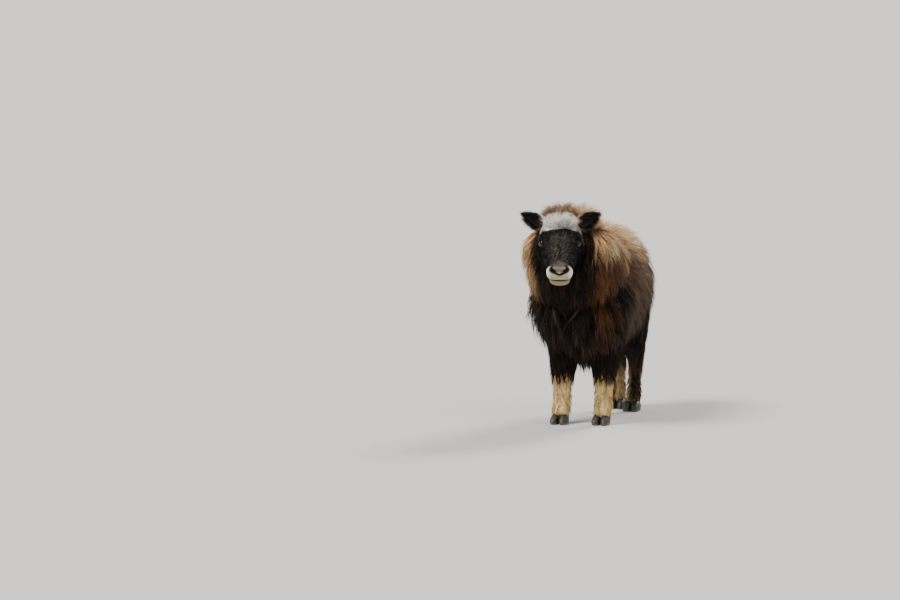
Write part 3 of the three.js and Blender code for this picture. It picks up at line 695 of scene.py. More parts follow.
class Socket:
    """A value in a material. Arithmetic on it adds a Math node, and node() adds any other."""

    def __init__(self, tree, link=None):
        self.tree = tree
        self.link = link

    def node(self, kind, settings=None, inputs=None, out=0):
        made = self.tree.nodes.new(kind)
        for key, value in (settings or {}).items():
            if key == "stops":
                ramp = made.color_ramp.elements
                while len(ramp) < len(value):
                    ramp.new(0.5)
                for stop, (place, colour) in zip(ramp, value):
                    stop.position = place
                    stop.color = (*colour, 1)
            else:
                setattr(made, key, value)
        for key, value in (inputs or {}).items():
            if isinstance(value, Socket):
                self.tree.links.new(value.link, made.inputs[key])
            else:
                made.inputs[key].default_value = value
        return Socket(self.tree, made.outputs[out] if made.outputs else None)

    def math(self, operation, first, second):
        return self.node("ShaderNodeMath", {"operation": operation}, {0: first, 1: second})

    def __add__(self, other):
        return self.math("ADD", self, other)

    def __mul__(self, other):
        return self.math("MULTIPLY", self, other)

    __radd__ = __add__
    __rmul__ = __mul__


def finish_of(name):
    """An empty material, and a socket to build its nodes from."""
    material = bpy.data.materials.new(name)
    material.use_nodes = True
    material.node_tree.nodes.clear()
    return material, Socket(material.node_tree)


def surface(start, inputs):
    """Closes a material with one Principled shader."""
    shader = start.node("ShaderNodeBsdfPrincipled", None, inputs)
    start.node("ShaderNodeOutputMaterial", None, {"Surface": shader})


def noise(start, place, scale, detail, roughness=0.5):
    """Fine unevenness, from 0 to 1."""
    inputs = {"Vector": place, "Scale": scale, "Detail": detail, "Roughness": roughness}
    return start.node("ShaderNodeTexNoise", None, inputs)


def scaled(start, colour, amount):
    """A colour made lighter or darker."""
    return start.node("ShaderNodeVectorMath", {"operation": "SCALE"}, {0: colour, "Scale": amount})


hide, start = finish_of("short_hair_hide")
place = start.node("ShaderNodeTexCoord", None, None, out=3)
colour = start.node("ShaderNodeAttribute", {"attribute_name": "marking"})
grain = noise(start, place, 420.0, 3.0, 0.6)
patchy = noise(start, place, 60.0, 4.0)
worn = scaled(start, colour, 0.7 + 0.35 * grain + 0.25 * patchy)
relief = start.node("ShaderNodeBump", None, {"Strength": 0.35, "Distance": 0.0012, "Height": grain})
surface(
    start,
    {"Base Color": worn, "Roughness": 0.6 + 0.3 * grain, "Specular IOR Level": 0.2, "Normal": relief},
)

places = np.zeros(len(skin.data.vertices) * 3, np.float32)
skin.data.vertices.foreach_get("co", places)
places = places.reshape(-1, 3).astype(float)
root_colours, tip_colours = markings(places)
# Under the coat the skin takes the hair's root colour, darkened to 0.8 as painted shade between the tufts;
# on the muzzle it takes the tip colour
is_muzzle = smooth(-33, -38, in_head(places)[:, 1])[:, None]
paint(skin.data, root_colours * (1 - is_muzzle) * 0.8 + tip_colours * is_muzzle)
skin.data.transform(Matrix.Translation(SHIFT))
skin.data.shade_smooth()
skin.data.materials.clear()
skin.data.materials.append(hide)
flesh = ["muzzle", "head", "ear_left", "ear_right", "crown", "saddle", "torso", "neck", "tail"]
flesh += [f"{part}_{leg}" for leg in legs for part in ("leg", "shank")]
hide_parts(*flesh)
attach(skin, "root")

# Eyes. Each is a dark, wet ball with a brown iris and a pupil that lies level.
# It sits in its ring of lids, and looks out and a little forward.
EYE_RADIUS = 5 * HEAD_PERCENT
wet, start = finish_of("wet_eye")
gaze = start.node("ShaderNodeAttribute", {"attribute_name": "gaze"})
split = start.node("ShaderNodeSeparateXYZ", None, {"Vector": gaze})
level = start.node("ShaderNodeSeparateXYZ", None, {"Vector": gaze}, out=1)
IRIS_STOPS = [
    (0.0, (0.01, 0.005, 0.003)),
    (0.55, (0.03, 0.013, 0.007)),
    (0.8, (0.01, 0.006, 0.004)),
    (1.0, (0.012, 0.008, 0.007)),
]
PUPIL_STOPS = [(0.25, (1, 1, 1)), (0.38, (0, 0, 0))]
PUPIL_BLACK = (0.003, 0.003, 0.005, 1)
PUPIL_REACH = (0.55, 1.1)
LOOK = (0.85, -0.5, 0.1)
iris = start.node("ShaderNodeValToRGB", {"stops": IRIS_STOPS}, {"Fac": split})
pupil = start.node("ShaderNodeValToRGB", {"stops": PUPIL_STOPS}, {"Fac": level})
eye_colour = start.node(
    "ShaderNodeMix",
    {"data_type": "RGBA", "blend_type": "MIX"},
    {"Factor": pupil, 6: iris, 7: PUPIL_BLACK},
    out=2,
)
surface(
    start,
    {
        "Base Color": eye_colour,
        "Roughness": 0.12,
        "Specular IOR Level": 0.3,
        "Coat Weight": 0.25,
        "Coat Roughness": 0.03,
    },
)
for side, sign in (("left", 1), ("right", -1)):
    centre = from_head(sign * EYE_PLACE[0], *EYE_PLACE[1:])
    look = unit(head_turned @ np.array((sign * LOOK[0], *LOOK[1:])))
    sheet = bmesh.new()
    bmesh.ops.create_uvsphere(sheet, u_segments=48, v_segments=32, radius=EYE_RADIUS)
    aimed = Vector((0, 0, 1)).rotation_difference(Vector(look)).to_matrix()
    bmesh.ops.rotate(sheet, verts=sheet.verts, matrix=aimed)
    mesh = mesh_of(f"eyeball_{side}", sheet)
    balls = np.array([vert.co for vert in mesh.vertices])
    upright = unit(np.array((0, 0, 1.0)) - look * look[2])
    flat = np.cross(look, upright)
    ahead = balls @ look / EYE_RADIUS
    ring = np.arccos(np.clip(ahead, -1, 1)) / (0.5 * math.pi)
    slit = np.hypot(
        balls @ upright / EYE_RADIUS / PUPIL_REACH[0],
        balls @ flat / EYE_RADIUS / PUPIL_REACH[1],
    )
    slit = np.where(ahead > 0, slit, 1)
    layer = mesh.attributes.new("gaze", "FLOAT_VECTOR", "POINT")
    layer.data.foreach_set("vector", np.column_stack([ring, slit, ring * 0]).astype(np.float32).ravel())
    mesh.transform(Matrix.Translation(Vector(centre) + SHIFT))
    mesh.shade_smooth()
    mesh.materials.append(wet)
    eyeball = placed_in_scene(f"eyeball_{side}", mesh)
    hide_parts(f"eye_{side}")
    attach(eyeball, "root")

# Hooves. Two claws to a foot, of dark horn with rings of growth and a worn, paler edge,
# flat on the floor and rounded in front.
MILLIMETRE = 0.001
CLAW_ROWS = [
    [34, 16, 12, 14, 20],
    [16, 18, 15, 22, 22],
    [-8, 17, 16, 24, 21],
    [-30, 12, 14, 14, 16],
    [-46, 7, 7, 6, 11],
]
CLAW_OFFSET = 17.5
CLAW_AHEAD = 4
CLAW_LEAN = 300
CLEFT_HALF = 0.0009
HORN_EDGE = 0.0012
HORN_STOPS = [
    (0.0, (0.16, 0.13, 0.09)),
    (0.28, (0.035, 0.028, 0.022)),
    (1.0, (0.02, 0.016, 0.013)),
]
horn, start = finish_of("hoof_horn")
place = start.node("ShaderNodeTexCoord", None, None, out=3)
rings = start.node(
    "ShaderNodeTexWave",
    {"bands_direction": "Z"},
    {"Vector": place, "Scale": 90.0, "Distortion": 3.0, "Detail": 2.0, "Detail Scale": 3.0},
    out=1,
)
streaks = noise(start, place, 160.0, 4.0)
up = start.node("ShaderNodeSeparateXYZ", None, {"Vector": place}, out=2)
worn_edge = start.node("ShaderNodeValToRGB", {"stops": HORN_STOPS}, {"Fac": up * 25.0})
horn_colour = scaled(start, worn_edge, 0.55 + 0.5 * rings + 0.5 * streaks)
height = rings + streaks
relief = start.node("ShaderNodeBump", None, {"Strength": 0.4, "Distance": 0.0008, "Height": height})
surface(start, {"Base Color": horn_colour, "Roughness": 0.3 + 0.3 * streaks, "Normal": relief})
for name, (x, y, side) in feet.items():
    for place, way in (("inner", -1), ("outer", 1)):
        aside = side * way * CLAW_OFFSET
        rows = []
        for along, high, *reach in CLAW_ROWS:
            centre_x = x / MILLIMETRE + aside * (1 - along / CLAW_LEAN)
            rows.append([centre_x, y / MILLIMETRE - CLAW_AHEAD + along, high, *reach])
        claw = Form(rows, MILLIMETRE, skin=0, square=2.6, ends=0.2)
        sheet = bmesh.new()
        claw.shell(sheet, 28, 20)
        sole = ((0, 0, 0), (0, 0, -1))
        cleft = ((x + side * way * CLEFT_HALF, 0, 0), (-side * way, 0, 0))
        for plane_at, plane_way in (sole, cleft):
            cut = bmesh.ops.bisect_plane(
                sheet,
                geom=[*sheet.verts, *sheet.edges, *sheet.faces],
                plane_co=plane_at,
                plane_no=plane_way,
                clear_outer=True,
            )
            rim = [edge for edge in cut["geom_cut"] if isinstance(edge, bmesh.types.BMEdge)]
            border = [edge for edge in sheet.edges if edge.is_boundary]
            bmesh.ops.holes_fill(sheet, edges=border, sides=0)
            bmesh.ops.bevel(
                sheet,
                geom=[edge for edge in rim if edge.is_valid],
                offset=HORN_EDGE,
                segments=2,
                profile=0.5,
                affect="EDGES",
                material=-1,
            )
        bmesh.ops.recalc_face_normals(sheet, faces=sheet.faces)
        label = f"claw_{name}_{place}"
        mesh = mesh_of(label, sheet)
        mesh.transform(Matrix.Translation(SHIFT))
        mesh.shade_smooth()
        mesh.materials.append(horn)
        hoof = placed_in_scene(label, mesh)
        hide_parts(label.replace("claw", "hoof"))
        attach(hoof, "root")

# Coat. Hair grows in tufts of a few tapered blades that share a lie and close together at
# their tips. Each blade is a closed three-sided strand, rooted in the skin.
coat_finish, start = finish_of("hair")
colour = start.node("ShaderNodeAttribute", {"attribute_name": "marking"})
place = start.node("ShaderNodeTexCoord", None, None, out=3)
grain = noise(start, place, 130.0, 3.0)
surface(
    start,
    {
        "Base Color": scaled(start, colour, 0.72 + 0.56 * grain),
        "Roughness": 0.5 + 0.25 * grain,
        "Specular IOR Level": 0.12,
        "Sheen Weight": 0.02,
        "Sheen Roughness": 0.4,
    },
)
EVEN_STEPS = np.array([0.8191725134, 0.6710436067, 0.5497004779])
BLADE_THICKNESS = 0.45
TUFT_THICKNESS = 0.4
ROOTED = 0.002
COMBED_IN = 0.212
COMBED_FLAT = 0.6
PATCH = 0.003


def at_roots(value, at):
    """A length, height or hang: a function of the place, or one number for all."""
    return value(at) if callable(value) else np.full(len(at), value)


def roots_on(form, number, where, seed):
    """Roots spread evenly over the skin of a form, where its hair grows."""
    tried = np.arange(1, number * 12)
    draw = (seed * 0.37 + tried[:, None] * EVEN_STEPS) % 1
    u = 0.01 + 0.98 * draw[:, 0]
    angle = 2 * math.pi * draw[:, 1]
    along, around, out = form.slopes(u, angle)
    area = np.linalg.norm(np.cross(along, around), axis=1)
    kept = np.flatnonzero(draw[:, 2] * np.quantile(area, 0.98) < area)
    u, angle, out = u[kept], angle[kept], out[kept]
    at = form.point(u, angle)
    kept = np.flatnonzero(where(at, out))[:number]
    return u[kept], angle[kept]


def comb(form, lie, u, angle, length, height, hang, sway, count):
    """The middle lines of tufts: from the skin up through the coat, then along its lie."""
    step = (length / count)[:, None]
    line, outs = [], []
    free = form.point(u, angle)
    for i in range(count + 1):
        share = i / count
        lift = height * share**0.7
        along, around, out = form.slopes(u, angle)
        on = form.point(u, angle) + out * lift[:, None]
        loose = free + out * lift[:, None]
        line.append(on * (1 - hang[:, None]) + loose * hang[:, None])
        outs.append(out)
        way = lie(form.point(u, angle))
        aside = np.cross(out, way)
        way = unit(way + aside * np.tan(sway)[:, None])
        flat = unit(way - out * (way * out).sum(1)[:, None])
        # The step over the skin, split into steps along the form and round it
        aa, ab, bb = (along * along).sum(1), (along * around).sum(1), (around * around).sum(1)
        fa, fb = (flat * along).sum(1) * step[:, 0], (flat * around).sum(1) * step[:, 0]
        span = np.maximum(aa * bb - ab * ab, 1e-12)
        u = u + np.clip((fa * bb - fb * ab) / span, -0.2, 0.2)
        angle = angle + np.clip((fb * aa - fa * ab) / span, -0.8, 0.8)
        beyond = (u < 0.01) | (u > 0.99)
        u = np.where(u < 0.01, 0.02 - u, np.where(u > 0.99, 1.98 - u, u))
        angle = angle + math.pi * beyond
        free = free + unit(flat * (1 - hang[:, None]) + way * hang[:, None]) * step
    return np.stack(line, 1), np.stack(outs, 1)


def flecked(tip_colour, draw, fleck):
    """Grizzled hair: some tufts have tips of another colour; on the face, cheeks and ears these grey tips
    are also painted glints.
    """
    amount, strength, colour = fleck
    share = np.where(draw < amount, strength, 0)[:, None]
    return tip_colour * (1 - share) + colour * share


def blade_pattern(count):
    """Faces of one blade: rings of three corners, closed at the root and drawn to a tip."""
    faces = [[0, 1, 2]]
    for ring in range(count - 1):
        for corner in range(3):
            a, b = ring * 3 + corner, ring * 3 + (corner + 1) % 3
            faces += [[a, a + 3, b], [b, a + 3, b + 3]]
    last = (count - 1) * 3
    for corner in range(3):
        faces.append([last + corner, last + 3, last + (corner + 1) % 3])
    return np.array(faces)


def coat_mesh(name, verts, faces, colours, maps):
    mesh = bpy.data.meshes.new(name)
    mesh.vertices.add(len(verts))
    mesh.vertices.foreach_set("co", (verts + np.array(SHIFT)).astype(np.float32).ravel())
    mesh.loops.add(faces.size)
    mesh.loops.foreach_set("vertex_index", faces.astype(np.int32).ravel())
    mesh.polygons.add(len(faces))
    mesh.polygons.foreach_set("loop_start", np.arange(0, faces.size, 3, dtype=np.int32))
    mesh.update(calc_edges=True)
    paint(mesh, colours)
    layer = mesh.uv_layers.new(name="OFBake")
    layer.data.foreach_set("uv", maps[faces.ravel()].astype(np.float32).ravel())
    mesh.shade_smooth()
    mesh.materials.append(coat_finish)
    return mesh


def grow_coat(name, patches):
    """One coat piece. Each patch is a form, the lie of its hair, where it grows, and its style."""
    verts, faces, colours, maps = [], [], [], []
    first = 0
    for number, (form, lie, where, style) in enumerate(patches):
        random = np.random.default_rng(style["seed"])
        tufts = style["tufts"] // 1
        u, angle = roots_on(form, tufts, where, style["seed"])
        tufts = len(u)
        at = form.point(u, angle)
        length = at_roots(style["length"], at) * random.uniform(0.8, 1.2, tufts)
        height = at_roots(style["height"], at) * random.uniform(0.45, 1.05, tufts)
        hang = at_roots(style["hang"], at)
        sway = random.normal(0, style["sway"], tufts)
        count = style["count"]
        line, outs = comb(form, lie, u, angle, length, height, hang, sway, count)
        tangent = unit(np.gradient(line, axis=1))
        across = unit(np.cross(tangent, outs))
        above = np.cross(across, tangent)

        blades = style["blades"]
        swing = random.uniform(0, 2 * math.pi, (tufts, blades))
        reach = style["spread"] * np.sqrt(random.uniform(0, 1, (tufts, blades)))
        share = np.linspace(0, 1, count + 1)
        close = 1 - style["clump"] * share**1.3
        frizz = random.normal(0, style["frizz"], (tufts, blades, 3)) * length[:, None, None]
        aside = (reach * np.cos(swing))[:, :, None] * close
        lift = (reach * np.sin(swing) * TUFT_THICKNESS)[:, :, None] * close
        trim = random.uniform(0.72, 1.08, (tufts, blades))[:, :, None, None]
        middle = line[:, None, :1] + (line - line[:, :1])[:, None] * trim
        middle = middle + across[:, None] * aside[..., None] + above[:, None] * lift[..., None]
        middle = middle + frizz[:, :, None, :] * (share**1.5)[None, None, :, None]
        middle = middle - outs[:, None, :1] * ROOTED
        # Hair that would stand out past the flanks lies flatter
        beyond = np.maximum(np.abs(middle[..., 0]) - COMBED_IN, 0)
        middle[..., 0] -= COMBED_FLAT * beyond * np.sign(middle[..., 0])
        middle = middle.reshape(-1, count + 1, 3)
        total = len(middle)

        tangent = unit(np.gradient(middle, axis=1))
        outward = np.repeat(outs, blades, axis=0)
        flat = unit(np.cross(tangent, outward))
        ridge = np.cross(flat, tangent)
        roll = random.normal(0, 0.6, total)[:, None, None]
        flat, ridge = (
            flat * np.cos(roll) + ridge * np.sin(roll),
            ridge * np.cos(roll) - flat * np.sin(roll),
        )
        width = style["width"] * random.uniform(0.7, 1.25, total)[:, None, None]
        taper = (np.minimum(1, 0.55 + 1.8 * share) * (1 - share) ** 0.55)[None, :, None]
        corners = []
        for corner in range(3):
            turn = 2 * math.pi * corner / 3 + math.pi / 6
            offset = flat * math.cos(turn) + ridge * math.sin(turn) * BLADE_THICKNESS
            corners.append(middle + offset * width * taper / 2)
        rings = np.stack(corners, 2)[:, :count]
        body = np.concatenate([rings.reshape(total, count * 3, 3), middle[:, -1:]], axis=1)
        each = count * 3 + 1
        blade_faces = blade_pattern(count)[None] + (first + np.arange(total) * each)[:, None, None]
        first += total * each

        root_colour, tip_colour = markings(at)
        tip_colour = flecked(tip_colour, random.uniform(0, 1, tufts), style["fleck"])
        lightness = np.repeat(random.normal(1, 0.16, tufts), blades) * random.normal(1, 0.18, total)
        lightness = np.clip(lightness, 0.5, 1.6)[:, None, None]
        root_colour, tip_colour = (
            np.repeat(colour, blades, axis=0)[:, None, :] for colour in (root_colour, tip_colour)
        )
        height_share = np.concatenate([np.repeat(share[:count], 3), [1.0]])
        toward_tip = smooth(0.1, 0.75, height_share)[None, :, None]
        shades = (root_colour * (1 - toward_tip) + tip_colour * toward_tip) * lightness

        # Each tuft's patch on the unwrapped skin: round the form across, along it upwards
        cell = 1 / len(patches)
        left = cell * (number + 0.02 + 0.94 * (angle / (2 * math.pi) % 1))
        low = 0.01 + 0.97 * np.clip(u, 0, 1)
        blade_at = np.tile((np.arange(blades) + 0.5) / blades, tufts) * PATCH
        corner_of = np.concatenate([np.tile([-0.4, 0, 0.4], count), [0]]) * PATCH / blades
        map_x = (np.repeat(left, blades) + blade_at)[:, None] + corner_of[None]
        map_y = np.repeat(low, blades)[:, None] + height_share[None] * PATCH

        verts.append(body.reshape(-1, 3))
        faces.append(blade_faces.reshape(-1, 3))
        colours.append(shades.reshape(-1, 3))
        maps.append(np.stack([map_x, map_y], 2).reshape(-1, 2))
    arrays = [np.concatenate(part) for part in (verts, faces, colours, maps)]
    coat = placed_in_scene(name, coat_mesh(name, *arrays))
    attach(coat, "root")


# Coat of the trunk: back along the spine, down and back on the flank, and straight down low,
# where it hangs in a skirt. It is woollier and paler on the saddle.
SKIRT_Z = 0.33 * WITHERS
SADDLE_Z = 0.84
OVERLAP = 0.004


def torso_lie(points):
    x, y, z = points.T
    low = np.clip((WITHERS - z) / (0.62 * WITHERS), 0, 1)
    backward = 1 - 0.78 * low**0.6
    rear = smooth(0.3 * WITHERS, 0.5 * WITHERS, y)
    down = 0.12 + 0.88 * np.maximum(low**0.7, rear)
    return unit(np.column_stack([np.sign(x) * 0.25 * (1 - low), backward * (1 - rear), -down]))


def bare_of(points, *others):
    """Which points lie outside the skin of other forms, or hardly inside it."""
    hidden = np.zeros(len(points), bool)
    for other in others:
        hidden |= other.holds(points, other.skin + OVERLAP)
    return ~hidden


def trunk_grows(side, saddle):
    def where(at, out):
        on_saddle = at[:, 2] / WITHERS > SADDLE_Z
        right_place = (on_saddle == saddle) & (at[:, 0] * side >= 0)
        return right_place & bare_of(at, neck, *legs.values())

    return where


def skirt_length(at):
    return np.clip(at[:, 2] - SKIRT_Z + 0.02, 0.06, 0.12)


def trunk_depth(at):
    """The coat stands further out on the chest and shoulder, and on the rump."""
    chest = smooth(-0.15, -0.36, at[:, 1] / WITHERS) * smooth(0.36, 0.5, at[:, 2] / WITHERS)
    back = smooth(0.8, 0.95, at[:, 2] / WITHERS)
    widest = smooth(0.14, 0.19, np.abs(at[:, 0]))
    return 0.054 + 0.03 * chest * (1 - 0.7 * widest) + 0.012 * back - 0.02 * widest


trunk_style = {
    "fleck": (0.15, 0.4, RUMP_HAIR),
    "tufts": 1950,
    "blades": 6,
    "count": 3,
    "length": skirt_length,
    "height": trunk_depth,
    "hang": lambda at: smooth(0, 0.15, 0.56 * WITHERS - at[:, 2]),
    "sway": 0.12,
    "spread": 0.012,
    "clump": 0.75,
    "frizz": 0.035,
    "width": 0.0042,
}
for label, side, seed in (("left", 1, 11), ("right", -1, 12)):
    flank = (torso, torso_lie, trunk_grows(side, False), {**trunk_style, "seed": seed})
    grow_coat(f"coat_flank_{label}", [flank])
saddle_style = {**trunk_style, "tufts": 1300, "length": 0.085, "seed": 13}
grow_coat("coat_saddle", [(torso, torso_lie, trunk_grows(0, True), saddle_style)])

# Ruff and crest. The longest and softest hair: it stands out round the head like a collar,
# falls over the chest, and rises behind the crown.
CREST_Z = 1.02 * WITHERS


def neck_lie(points):
    x, _, z = points.T
    crest = smooth(WITHERS, 1.1 * WITHERS, z)[:, None]
    outward = 0.2 * smooth(0.86 * WITHERS, WITHERS, z)
    down = np.column_stack([np.sign(x) * outward, np.full(len(x), 0.15), np.full(len(x), -1.0)])
    back = np.column_stack([np.sign(x) * 0.5, np.full(len(x), 0.5), np.full(len(x), -0.5)])
    return unit(down * (1 - crest) + back * crest)


def ruff_length(at):
    return 0.16 - 0.07 * smooth(0.55, 0.74, at[:, 2])


def neck_grows(side):
    def where(at, out):
        return bare_of(at, torso, head) & (at[:, 0] * side >= 0) & (at[:, 2] < CREST_Z)

    return where


def crest_lie(points):
    """Up and outwards, leaning back a little, so that the crest is a rounded dome."""
    aside = (points[:, 0] + 0.0094) / 0.1
    behind = (points[:, 1] + 0.43 * WITHERS) / 0.1
    rise = 0.65 - 1.4 * smooth(0.1, 0.9, behind)
    return unit(np.column_stack([1.1 * aside, 0.6 * behind + 0.3, rise]))


def crest_grows(at, out):
    return bare_of(at, torso, head) & (at[:, 2] >= CREST_Z)


ruff_style = {
    **trunk_style,
    "tufts": 1850,
    "length": ruff_length,
    "height": lambda at: 0.05 + 0.02 * smooth(-0.2, -0.34, at[:, 1] / WITHERS),
    "hang": lambda at: 0.3 + 0.4 * smooth(0.9 * WITHERS, 0.76 * WITHERS, at[:, 2]),
    "frizz": 0.05,
    "fleck": (0.2, 0.4, BROWN_HAIR),
}
for label, side, seed in (("left", 1, 21), ("right", -1, 22)):
    ruff = (neck, neck_lie, neck_grows(side), {**ruff_style, "seed": seed})
    grow_coat(f"coat_ruff_{label}", [ruff])
crest_style = {
    **ruff_style,
    "seed": 23,
    "tufts": 900,
    "length": lambda at: 0.05 + 0.04 * smooth(-0.38, -0.3, at[:, 1] / WITHERS),
    "height": 0.004,
    "hang": 0.85,
    "sway": 0.25,
    "clump": 0.25,
    "frizz": 0.16,
    "width": 0.003,
}
grow_coat("coat_crest", [(neck, crest_lie, crest_grows, crest_style)])

# Head. Short, flat hair covers the face, longer hair fringes the cheeks and jaw, a woolly
# white pad lies over the brow, and the muzzle is bare but for its down.
EYE_SOCKET = 0.0195


def head_lie(points):
    local = in_head(points)
    high = smooth(0, 15, local[:, 2])[:, None]
    side = np.sign(local[:, 0])
    ones = np.ones(len(local))
    back = np.column_stack([side * 0.5, ones, ones * 0.1]) @ head_turned.T
    down = np.column_stack([side * 0.1, ones * 0.4, -ones])
    return unit(down * (1 - high) + back * high)


def eye_clearance(points):
    """How far points are from the nearer eye's middle."""
    middles = [from_head(sign * EYE_PLACE[0], *EYE_PLACE[1:]) for sign in (1, -1)]
    return np.min([np.linalg.norm(points - middle, axis=1) for middle in middles], axis=0)


def fringe_share(at):
    """1 on the cheeks and jaw, where the hair is long, and 0 on the face."""
    local = in_head(at)
    side, ahead, height = np.abs(local[:, 0]), local[:, 1], local[:, 2]
    cheek = smooth(13, 22, side) * smooth(8, 0, height) * smooth(-16, -6, ahead)
    jaw = smooth(-14, -20, height) * smooth(-24, -12, ahead)
    return np.maximum(cheek, jaw)


def face_grows(at, out):
    bare = bare_of(at, neck, nose, chin, crown)
    return (in_head(at)[:, 1] > MUZZLE_Y) & (eye_clearance(at) > EYE_SOCKET) & bare


def cheek_grows(at, out):
    return (fringe_share(at) > 0.3) & face_grows(at, out)


def brow_share(at):
    """0 on the face, and 1 on the brow in front of the crown, where the hair is shortest."""
    return smooth(-2, 10, in_head(at)[:, 1])


def face_length(at):
    return 0.013 + 0.009 * smooth(-34, -16, in_head(at)[:, 1]) - 0.014 * brow_share(at)


face_style = {
    "seed": 31,
    "tufts": 3600,
    "blades": 4,
    "count": 2,
    "length": face_length,
    "height": lambda at: 0.009 - 0.005 * brow_share(at),
    "hang": 0.0,
    "sway": 0.5,
    "spread": 0.004,
    "clump": 0.65,
    "frizz": 0.12,
    "width": 0.0024,
    # Grey tips on one tuft in ten: grizzle, and painted glints on the black hair
    "fleck": (0.1, 0.3, GRIZZLE_AND_GLINT),
}
cheek_style = {
    **face_style,
    "seed": 32,
    "tufts": 900,
    "blades": 5,
    "count": 3,
    "length": 0.062,
    "height": 0.02,
    "hang": 0.25,
    "spread": 0.007,
    "width": 0.0028,
}
grow_coat("coat_face", [(head, head_lie, face_grows, face_style)])
grow_coat("coat_cheeks", [(head, head_lie, cheek_grows, cheek_style)])


def crown_lie(points):
    local = in_head(points)
    ones = np.ones(len(local))
    return unit(np.column_stack([local[:, 0] / 22, ones * 0.8, ones * 0.55]) @ head_turned.T)


def crown_share(at):
    """0 at the crown's dark front edge, where hair is short, and 1 behind it."""
    local = in_head(at)
    return smooth(9, 12, local[:, 1] + 0.004 * local[:, 0] ** 2)


def crown_grows(at, out):
    return bare_of(at, head)


crown_style = {
    **cheek_style,
    "seed": 33,
    "tufts": 1000,
    "blades": 6,
    "length": lambda at: 0.01 + 0.034 * crown_share(at),
    "height": lambda at: 0.002 + 0.009 * crown_share(at),
    "hang": 0.15,
    "sway": 0.4,
    "clump": 0.5,
    "frizz": 0.08,
    "width": 0.0022,
    "fleck": (0.1, 0.3, BROWN_HAIR),
}
grow_coat("coat_crown", [(crown, crown_lie, crown_grows, crown_style)])

# Ears. Short black hair over the leaf and its rims.
ear_style = {
    **face_style,
    "tufts": 700,
    "length": 0.026,
    "height": 0.006,
    "hang": 0.75,
    "sway": 0.4,
    "spread": 0.003,
    "frizz": 0.16,
    "width": 0.0018,
}
patches = []
for number, ear in enumerate(ears.values()):
    ear_way = unit(ear.places[-1] - ear.places[0])

    def ear_lie(points, ear=ear, ear_way=ear_way):
        along = (points - ear.places[0]) @ ear_way
        below = smooth(0, -0.01, points[:, 2] - ear.places[0][2] - along * ear_way[2])
        droop = np.outer(below, np.array((0, 0, -1.2)))
        return unit(np.tile(ear_way, (len(points), 1)) + droop)

    def ear_grows(at, out, ear=ear):
        return (out @ ear.up < 0.25) & bare_of(at, head)

    patches.append((ear, ear_lie, ear_grows, {**ear_style, "seed": 41 + number}))
grow_coat("coat_ears", patches)

# Legs. Long dark hair over the forearms and thighs, and short pale hair, lying flat, below.
HOOF_TOP = 0.022


def leg_lie(points):
    return np.tile(unit(np.array((0, 0.18, -1.0))), (len(points), 1))


def shank_share(at):
    return smooth(0.3 * WITHERS, 0.22 * WITHERS, at[:, 2])


def leg_grows(at, out):
    return bare_of(at, torso, neck) & (at[:, 2] > HOOF_TOP)


leg_style = {
    "fleck": (0.15, 0.3, BROWN_HAIR),
    "tufts": 720,
    "blades": 5,
    "count": 3,
    "length": lambda at: 0.075 - 0.045 * shank_share(at),
    "height": lambda at: 0.012 - 0.001 * shank_share(at),
    "hang": lambda at: 0.1 * (1 - shank_share(at)),
    "sway": 0.12,
    "spread": 0.007,
    "clump": 0.6,
    "frizz": 0.04,
    "width": 0.003,
}
for pair, seed in (("front", 51), ("hind", 61)):
    patches = []
    for number, side in enumerate(("left", "right")):
        style = {**leg_style, "seed": seed + number}
        patches.append((legs[f"{pair}_{side}"], leg_lie, leg_grows, style))
    grow_coat(f"coat_legs_{pair}", patches)

# Tail. It is short and nearly lost in the coat of the rump, with hair like that of the thighs.
tail_style = {**leg_style, "seed": 71, "tufts": 160, "length": 0.05}


def tail_grows(at, out):
    return bare_of(at, torso)


grow_coat("coat_tail", [(tail, leg_lie, tail_grows, tail_style)])

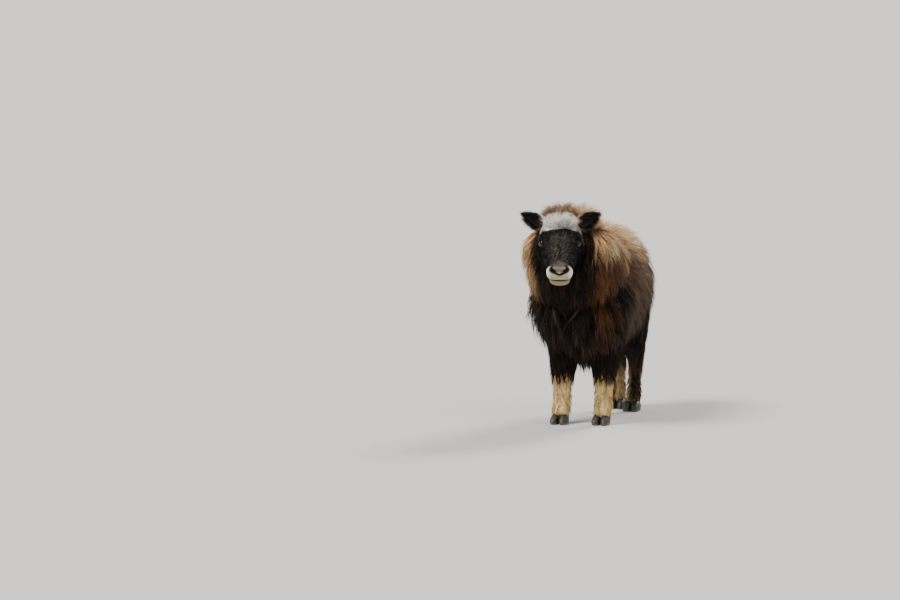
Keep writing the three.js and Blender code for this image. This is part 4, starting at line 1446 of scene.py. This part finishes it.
# Stage. A wide pale floor, soft light from all round, and a long lens from the calf's left
# front, a little above it. The spot between the fore feet lies where the photo has it.
SPOT = Vector((0, -0.211, 0)) + SHIFT
SPOT_PIXEL = (582, 424)
PHOTO_SIZE = (900, 600)
PIXELS_PER_METRE = 250
LENS = 300
SENSOR = 36
AZIMUTH = 20
ELEVATION = 6
DISTANCE = PHOTO_SIZE[0] * LENS / SENSOR / PIXELS_PER_METRE
FLOOR_RADIUS = 160
sheet = bmesh.new()
bmesh.ops.create_circle(sheet, cap_ends=True, segments=96, radius=FLOOR_RADIUS)
floor = placed_in_scene("floor", mesh_of("floor", sheet))
pale, start = finish_of("pale_floor")
surface(start, {"Base Color": (0.62, 0.61, 0.59, 1), "Roughness": 0.9})
floor.data.materials.append(pale)
floor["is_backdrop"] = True


def toward(azimuth, elevation):
    """The way from the calf to a point round it, in degrees from its front to its left and up."""
    a, e = math.radians(azimuth), math.radians(elevation)
    return Vector((math.sin(a) * math.cos(e), -math.cos(a) * math.cos(e), math.sin(e)))


back = toward(AZIMUTH, ELEVATION)
right = Vector((math.cos(math.radians(AZIMUTH)), math.sin(math.radians(AZIMUTH)), 0))
above = back.cross(right)
beside, below = (pixel - size / 2 for pixel, size in zip(SPOT_PIXEL, PHOTO_SIZE))
aim = SPOT - right * beside / PIXELS_PER_METRE + above * below / PIXELS_PER_METRE
lens = bpy.data.cameras.new("camera")
lens.lens = LENS
lens.sensor_width = SENSOR
lens.clip_end = 400
camera = placed_in_scene("camera", lens)
camera.location = aim + back * DISTANCE
camera.rotation_mode = "QUATERNION"
camera.rotation_quaternion = (-back).to_track_quat("-Z", "Y")
bpy.context.scene.camera = camera

# Each light's azimuth and elevation, strength, softness in degrees, and colour
LIGHTS = {
    "key": ((-35, 52), 3.3, 22, (1.0, 0.97, 0.92)),
    "fill": ((65, 30), 0.7, 60, (0.95, 0.97, 1.0)),
    "rim": ((165, 38), 2.6, 18, (1.0, 0.96, 0.9)),
}
for label, (place, strength, softness, colour) in LIGHTS.items():
    lamp = bpy.data.lights.new(label, "SUN")
    lamp.energy = strength
    lamp.angle = math.radians(softness)
    lamp.color = colour
    light = placed_in_scene(label, lamp)
    light.rotation_mode = "QUATERNION"
    light.rotation_quaternion = toward(*place).to_track_quat("Z", "Y")
world = bpy.data.worlds.new("soft_room")
world.use_nodes = True
sky = world.node_tree.nodes["Background"].inputs
sky["Color"].default_value = (0.9, 0.95, 1.0, 1)
sky["Strength"].default_value = 0.55
bpy.context.scene.world = world

low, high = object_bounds()
